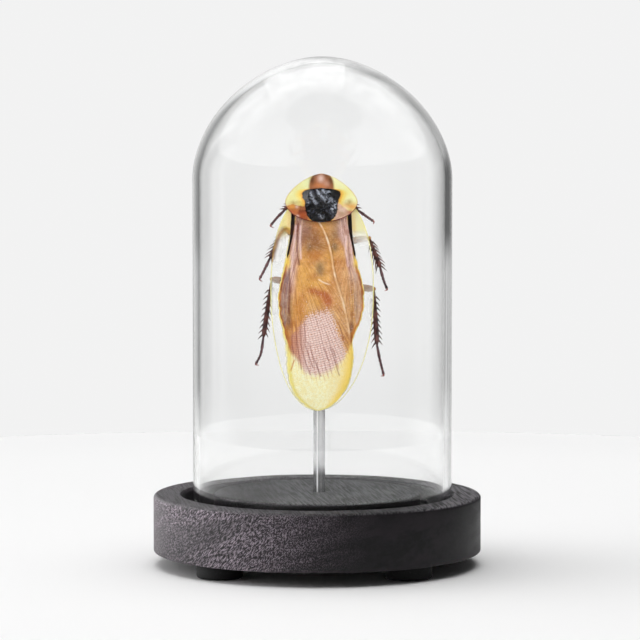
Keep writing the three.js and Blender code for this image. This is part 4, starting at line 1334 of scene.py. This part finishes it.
# How thick a pair of legs is, how many spines each shin has, and how long the spines are.
LEG_PAIRS = {"front": (0.85, 8, 1.5), "middle": (1.0, 13, 2.5), "hind": (1.1, 18, 1.9)}
COXA_RADII, FEMUR_RADII, TIBIA_RADII = (0.85, 1.2, 1.1, 0.75), (0.6, 1.0, 1.0, 0.85), (0.36, 0.54, 0.68, 0.68)
HIP_BALL, KNEE_BALL = (0.7, 0.7, 0.55), (0.58, 0.58, 0.5)
LIMB_STEPS, TARSUS_STEPS, CLAW_STEPS, SPINE_STEPS = 18, 51, 14, 6
TARSUS_JOINTS = np.array([0, 0.42, 0.58, 0.72, 0.84, 1.0])
TOE_RADIUS, TOE_SWELL, TOE_POWER, TOE_TAPER = 0.36, 0.2, 1.5, 0.05
CLAW_SPREADS, CLAW_RADII, CLAW_RUN = (-0.3, 0.3), (0.34, 0.06), 0.5
SPINE_TILTS, SPINE_RADII, SPINE_START, SPINE_RUN = (0.35, 0.0, -0.35), (0.28, 0.05), 0.14, 0.82
# Where a spine starts within the shin, how far it leans and bends, and its share of the longest one.
SPINE_ROOT, SPINE_LEAN, LEAN_LENGTH, SPINE_BEND, SPINE_SHARE = 0.5, (0.9, 1.3), 1.9, 0.06, (0.75, 1.0)
FEELER = (
    (1.5, 68.6, -1.3), (2.4, 67, -2.6), (3.8, 60, -3), (5.2, 52, -3.1), (6.6, 44, -3), (7.6, 36, -2.7),
    (7.2, 28, -1.7), (5.6, 20, -0.8),
)
FEELER_STEPS, FEELER_RING, FEELER_RADII = 240, 4, (0.32, 0.12)


def limb_part(start, end, radii, thick, flat, sides):
    """A straight joint of a leg whose radius follows the given values from start to end."""
    places = np.linspace(0, 1, len(radii))
    swell = curve(list(zip(places, np.multiply(radii, thick))))(np.linspace(0, 1, LIMB_STEPS))
    swell = swell * np.sqrt(np.clip(1 - np.linspace(-1, 1, LIMB_STEPS) ** 12, 0.12, 1))
    return tube(np.linspace(start, end, LIMB_STEPS), swell, sides, flat)


def spines(knee, ankle, thick, count, longest, draw):
    """Stiff thorns in two rows along a shin, leaning towards the foot."""
    knee, ankle = np.array(knee, float), np.array(ankle, float)
    along = unit(ankle - knee)
    sideways = unit(np.cross(along, [0, 0, 1.0]))
    made = []
    for i in range(count):
        out = unit(sideways * (1 if i % 2 else -1) + np.array([0, 0, SPINE_TILTS[i % 3]]))
        place = SPINE_START + SPINE_RUN * i / (count - 1)
        root = knee + (ankle - knee) * place + out * SPINE_ROOT * thick
        heading = unit(out + along * draw.uniform(*SPINE_LEAN) * longest / LEAN_LENGTH)
        reach = np.linspace(0, longest * draw.uniform(*SPINE_SHARE), SPINE_STEPS)[:, None]
        path = root + heading * reach + along * SPINE_BEND * reach ** 2
        made.append(tube(path, np.linspace(*SPINE_RADII, SPINE_STEPS), 8))
    return made


def tarsus(ankle, toes):
    """Five short joints, each swelling towards its end, then two hooked claws."""
    path = smooth_path([ankle, *toes[:2]], TARSUS_STEPS)
    t = np.linspace(0, 1, TARSUS_STEPS)
    i = np.clip(np.searchsorted(TARSUS_JOINTS, t, "right") - 1, 0, len(TARSUS_JOINTS) - 2)
    within = (t - TARSUS_JOINTS[i]) / np.diff(TARSUS_JOINTS)[i]
    radii = TOE_RADIUS + TOE_SWELL * within ** TOE_POWER - TOE_TAPER * t
    toe, hook = path[-1], np.array(toes[2], float)
    onward = CLAW_RUN * unit(path[-1] - path[-4])
    claws = []
    for spread in CLAW_SPREADS:
        bend = [toe, toe + onward + [0, 0, spread / 2], hook + [0, 0, spread]]
        claws.append(tube(smooth_path(bend, CLAW_STEPS), np.linspace(*CLAW_RADII, CLAW_STEPS), 10))
    return tube(path, radii), claws


def leg(name, draw):
    """A leg, with a length field that rises from the hip to the claws."""
    hip, trochanter, knee, ankle, *toes = LEGS[name]
    thick, count, longest = LEG_PAIRS[name.split("_")[1]]
    foot, claws = tarsus(ankle, toes)
    parts = [
        (limb_part(hip, trochanter, COXA_RADII, thick, 0.6, 20), 0, 0),
        (ball(trochanter, np.multiply(HIP_BALL, thick), 16, 12), 0, 0),
        (limb_part(trochanter, knee, FEMUR_RADII, thick, 0.7, 20), 0, 0),
        (ball(knee, np.multiply(KNEE_BALL, thick), 16, 12), 0, 0),
        (limb_part(knee, ankle, TIBIA_RADII, thick, 0.85, 16), 0.04, 0.4),
    ]
    parts += [(thorn, 0.3, 0.3) for thorn in spines(knee, ankle, thick, count, longest, draw)]
    parts += [(foot, 0.5, 0.8)] + [(claw, 1, 1) for claw in claws]
    length = np.concatenate([np.linspace(start, end, len(part[0])) for part, start, end in parts])
    shape = join([part for part, _, _ in parts])
    insect_piece(f"{name}_limb", shape, LIMB, name, {"length": length})


def antenna(side):
    rings = 1 + 0.14 * np.cos(np.arange(FEELER_STEPS) * math.tau / FEELER_RING)
    radii = np.linspace(*FEELER_RADII, FEELER_STEPS) * rings
    shape = tube(paired_path(FEELER, side, FEELER_STEPS), radii, 10)
    name = side_name(side)
    fields = {"length": np.full(len(shape[0]), 0.5)}
    insect_piece(f"{name}_feeler", shape, LIMB, f"{name}_antenna", fields)


# Stage

def floor():
    """A round pale table top whose paint turns to one even shade towards its edge."""
    turn = full_turn(FLOOR_STEPS)
    corners = np.stack([FLOOR_EDGE * np.cos(turn), FLOOR_EDGE * np.sin(turn), 0 * turn], -1)
    mesh = bpy.data.meshes.new("floor")
    mesh.from_pydata(corners.tolist(), [], [list(range(FLOOR_STEPS))])
    s = Surface("floor_paint", Roughness=0.7, Specular_IOR_Level=0.2)
    clouded = s.mix(s.noise(1.5, 2.0), grey(FLOOR_SHADES[0]), grey(FLOOR_SHADES[1]))
    inward = s.node("TexGradient", "Fac", {"gradient_type": "SPHERICAL"}, Vector=s.where())
    edge = 1 - FLOOR_EDGE
    tone = s.blend(inward, edge, edge + FLOOR_FADE, grey(EDGE_SHADE), clouded)
    mesh.materials.append(s.finish(Base_Color=tone))
    made = bpy.data.objects.new("floor", mesh)
    bpy.context.scene.collection.objects.link(made)


def window_light():
    """A broad soft light, high behind the glass, whose reflection lies along the top of the dome."""
    lamp = bpy.data.lights.new("window", "AREA")
    lamp.shape, lamp.size, lamp.size_y = "RECTANGLE", *WINDOW_SIZE
    lamp.energy = WINDOW_RADIANCE * math.pi * WINDOW_SIZE[0] * WINDOW_SIZE[1]
    made = bpy.data.objects.new("window", lamp)
    made.location = WINDOW_PLACE
    made.visible_camera = False
    made.visible_diffuse = False
    bpy.context.scene.collection.objects.link(made)


def light_from(n, direction, ambient, *lobes):
    """An even light with brighter lobes, each with a direction, a focus and a strength."""
    total = ambient
    for towards, focus, strength in lobes:
        facing = 0.0
        for axis, amount in zip(n.axes(direction), Vector(towards).normalized()):
            facing = n.fit(axis, amount, facing)
        total = n.fit(n.math("POWER", n.larger(facing, 0.0), focus), strength, total)
    return total


def mirrored_room(n, direction):
    """What the glass mirrors: a striped room behind with dark uprights, and a pale table below."""
    x, y, z = n.axes(direction)
    behind = n.band(y, -0.25, 0.4)
    stretched = n.node("Mapping", "Vector", Vector=direction, Scale=(1, 1, 0.15))
    stripes = n.fit(n.band(n.noise(7.0, 2.0, 0.6, stretched), 0.35, 0.65), 0.6, 0.6)
    room = n.fit(n.times(stripes, behind), ROOM, ROOM_FRONT)
    upper, cap, reached = n.band(z, -0.06, -0.045), n.band(z, 0.02, 0.12), n.band(z, 0.7, 0.3)
    for place, width, low_shade, high_shade, cap_shade in UPRIGHTS:
        mask = n.times(n.band(n.off(x, place), width, width / 2), reached)
        shade = n.fit(upper, high_shade - low_shade, low_shade - 1.0)
        shade = n.fit(cap, cap_shade - high_shade, shade)
        room = n.times(room, n.fit(mask, shade, 1.0))
    table = n.larger(n.times(behind, n.band(z, -0.09, -0.11)), n.band(z, -0.18, -0.24))
    return n.mix(table, room, grey(TABLE))


def surroundings():
    """A pale wall, light from above and from the left, and a darker room for the reflections.

    What stands under the glass gets its own light, from the front.
    """
    world = bpy.data.worlds.new("room")
    world.use_nodes = True
    world.cycles.sampling_method = "NONE"
    bpy.context.scene.world = world
    n = Nodes(world.node_tree)
    direction = n.node("TexCoord", "Generated")
    outside = light_from(n, direction, AMBIENT, OVERHEAD, FROM_LEFT)
    inside = light_from(n, direction, INSIDE_AMBIENT, FROM_FRONT)
    shine = light_from(n, direction, SHINE_AMBIENT, SHINE, SHEEN)
    gloss = light_from(n, direction, GLOSS_AMBIENT, GLOSS)

    path = n.tree.nodes.new("ShaderNodeLightPath").outputs
    room = n.mix(path["Is Singular Ray"], gloss, mirrored_room(n, direction))
    behind_glass = n.blend(n.axes(direction)[2], -0.1, -0.07, grey(WALL_FOOT), grey(WALL_BEHIND_GLASS))
    wall = n.mix(path["Is Camera Ray"], behind_glass, grey(WALL))
    mirrored = n.math("GREATER_THAN", path["Glossy Depth"], 0.5)
    lit = n.math("GREATER_THAN", path["Diffuse Depth"], 0.5)
    passed = n.math("GREATER_THAN", path["Transmission Depth"], GLASS_FACES - 0.5)
    past_glass = n.times(path["Is Transmission Ray"], passed)
    seen = n.mix(mirrored, wall, n.mix(past_glass, room, shine))
    seen = n.mix(lit, seen, n.mix(path["Is Transmission Ray"], outside, inside))
    n.put(n.tree.nodes["Background"].inputs["Color"], seen)


def camera():
    data = bpy.data.cameras.new("camera")
    data.sensor_width, data.lens = SENSOR_MM, LENS_MM
    data.clip_start, data.clip_end = 0.01, 50
    made = bpy.data.objects.new("camera", data)
    made.location = (CAMERA_X * MM, CAMERA_Y * MM, CAMERA_Z * MM)
    made.rotation_euler = (math.radians(90 - CAMERA_PITCH), 0, 0)
    bpy.context.scene.collection.objects.link(made)
    bpy.context.scene.camera = made


camera()
surroundings()
window_light()
floor()
bpy.context.scene.view_settings.view_transform = "Standard"

wood_base()
rubber_feet()
glass_dome()
steel_rod()

MEMBRANE, HIND_MEMBRANE = tegmen_membrane(), hindwing_membrane()
CUTICLE, LIMB = body_cuticle(), limb_cuticle()
for side in (-1, 1):
    tegmen(side)
    hindwing(side)
    antenna(side)
pronotum()
body()
head()
DRAW = np.random.default_rng(7)
for name in LEGS:
    leg(name, DRAW)
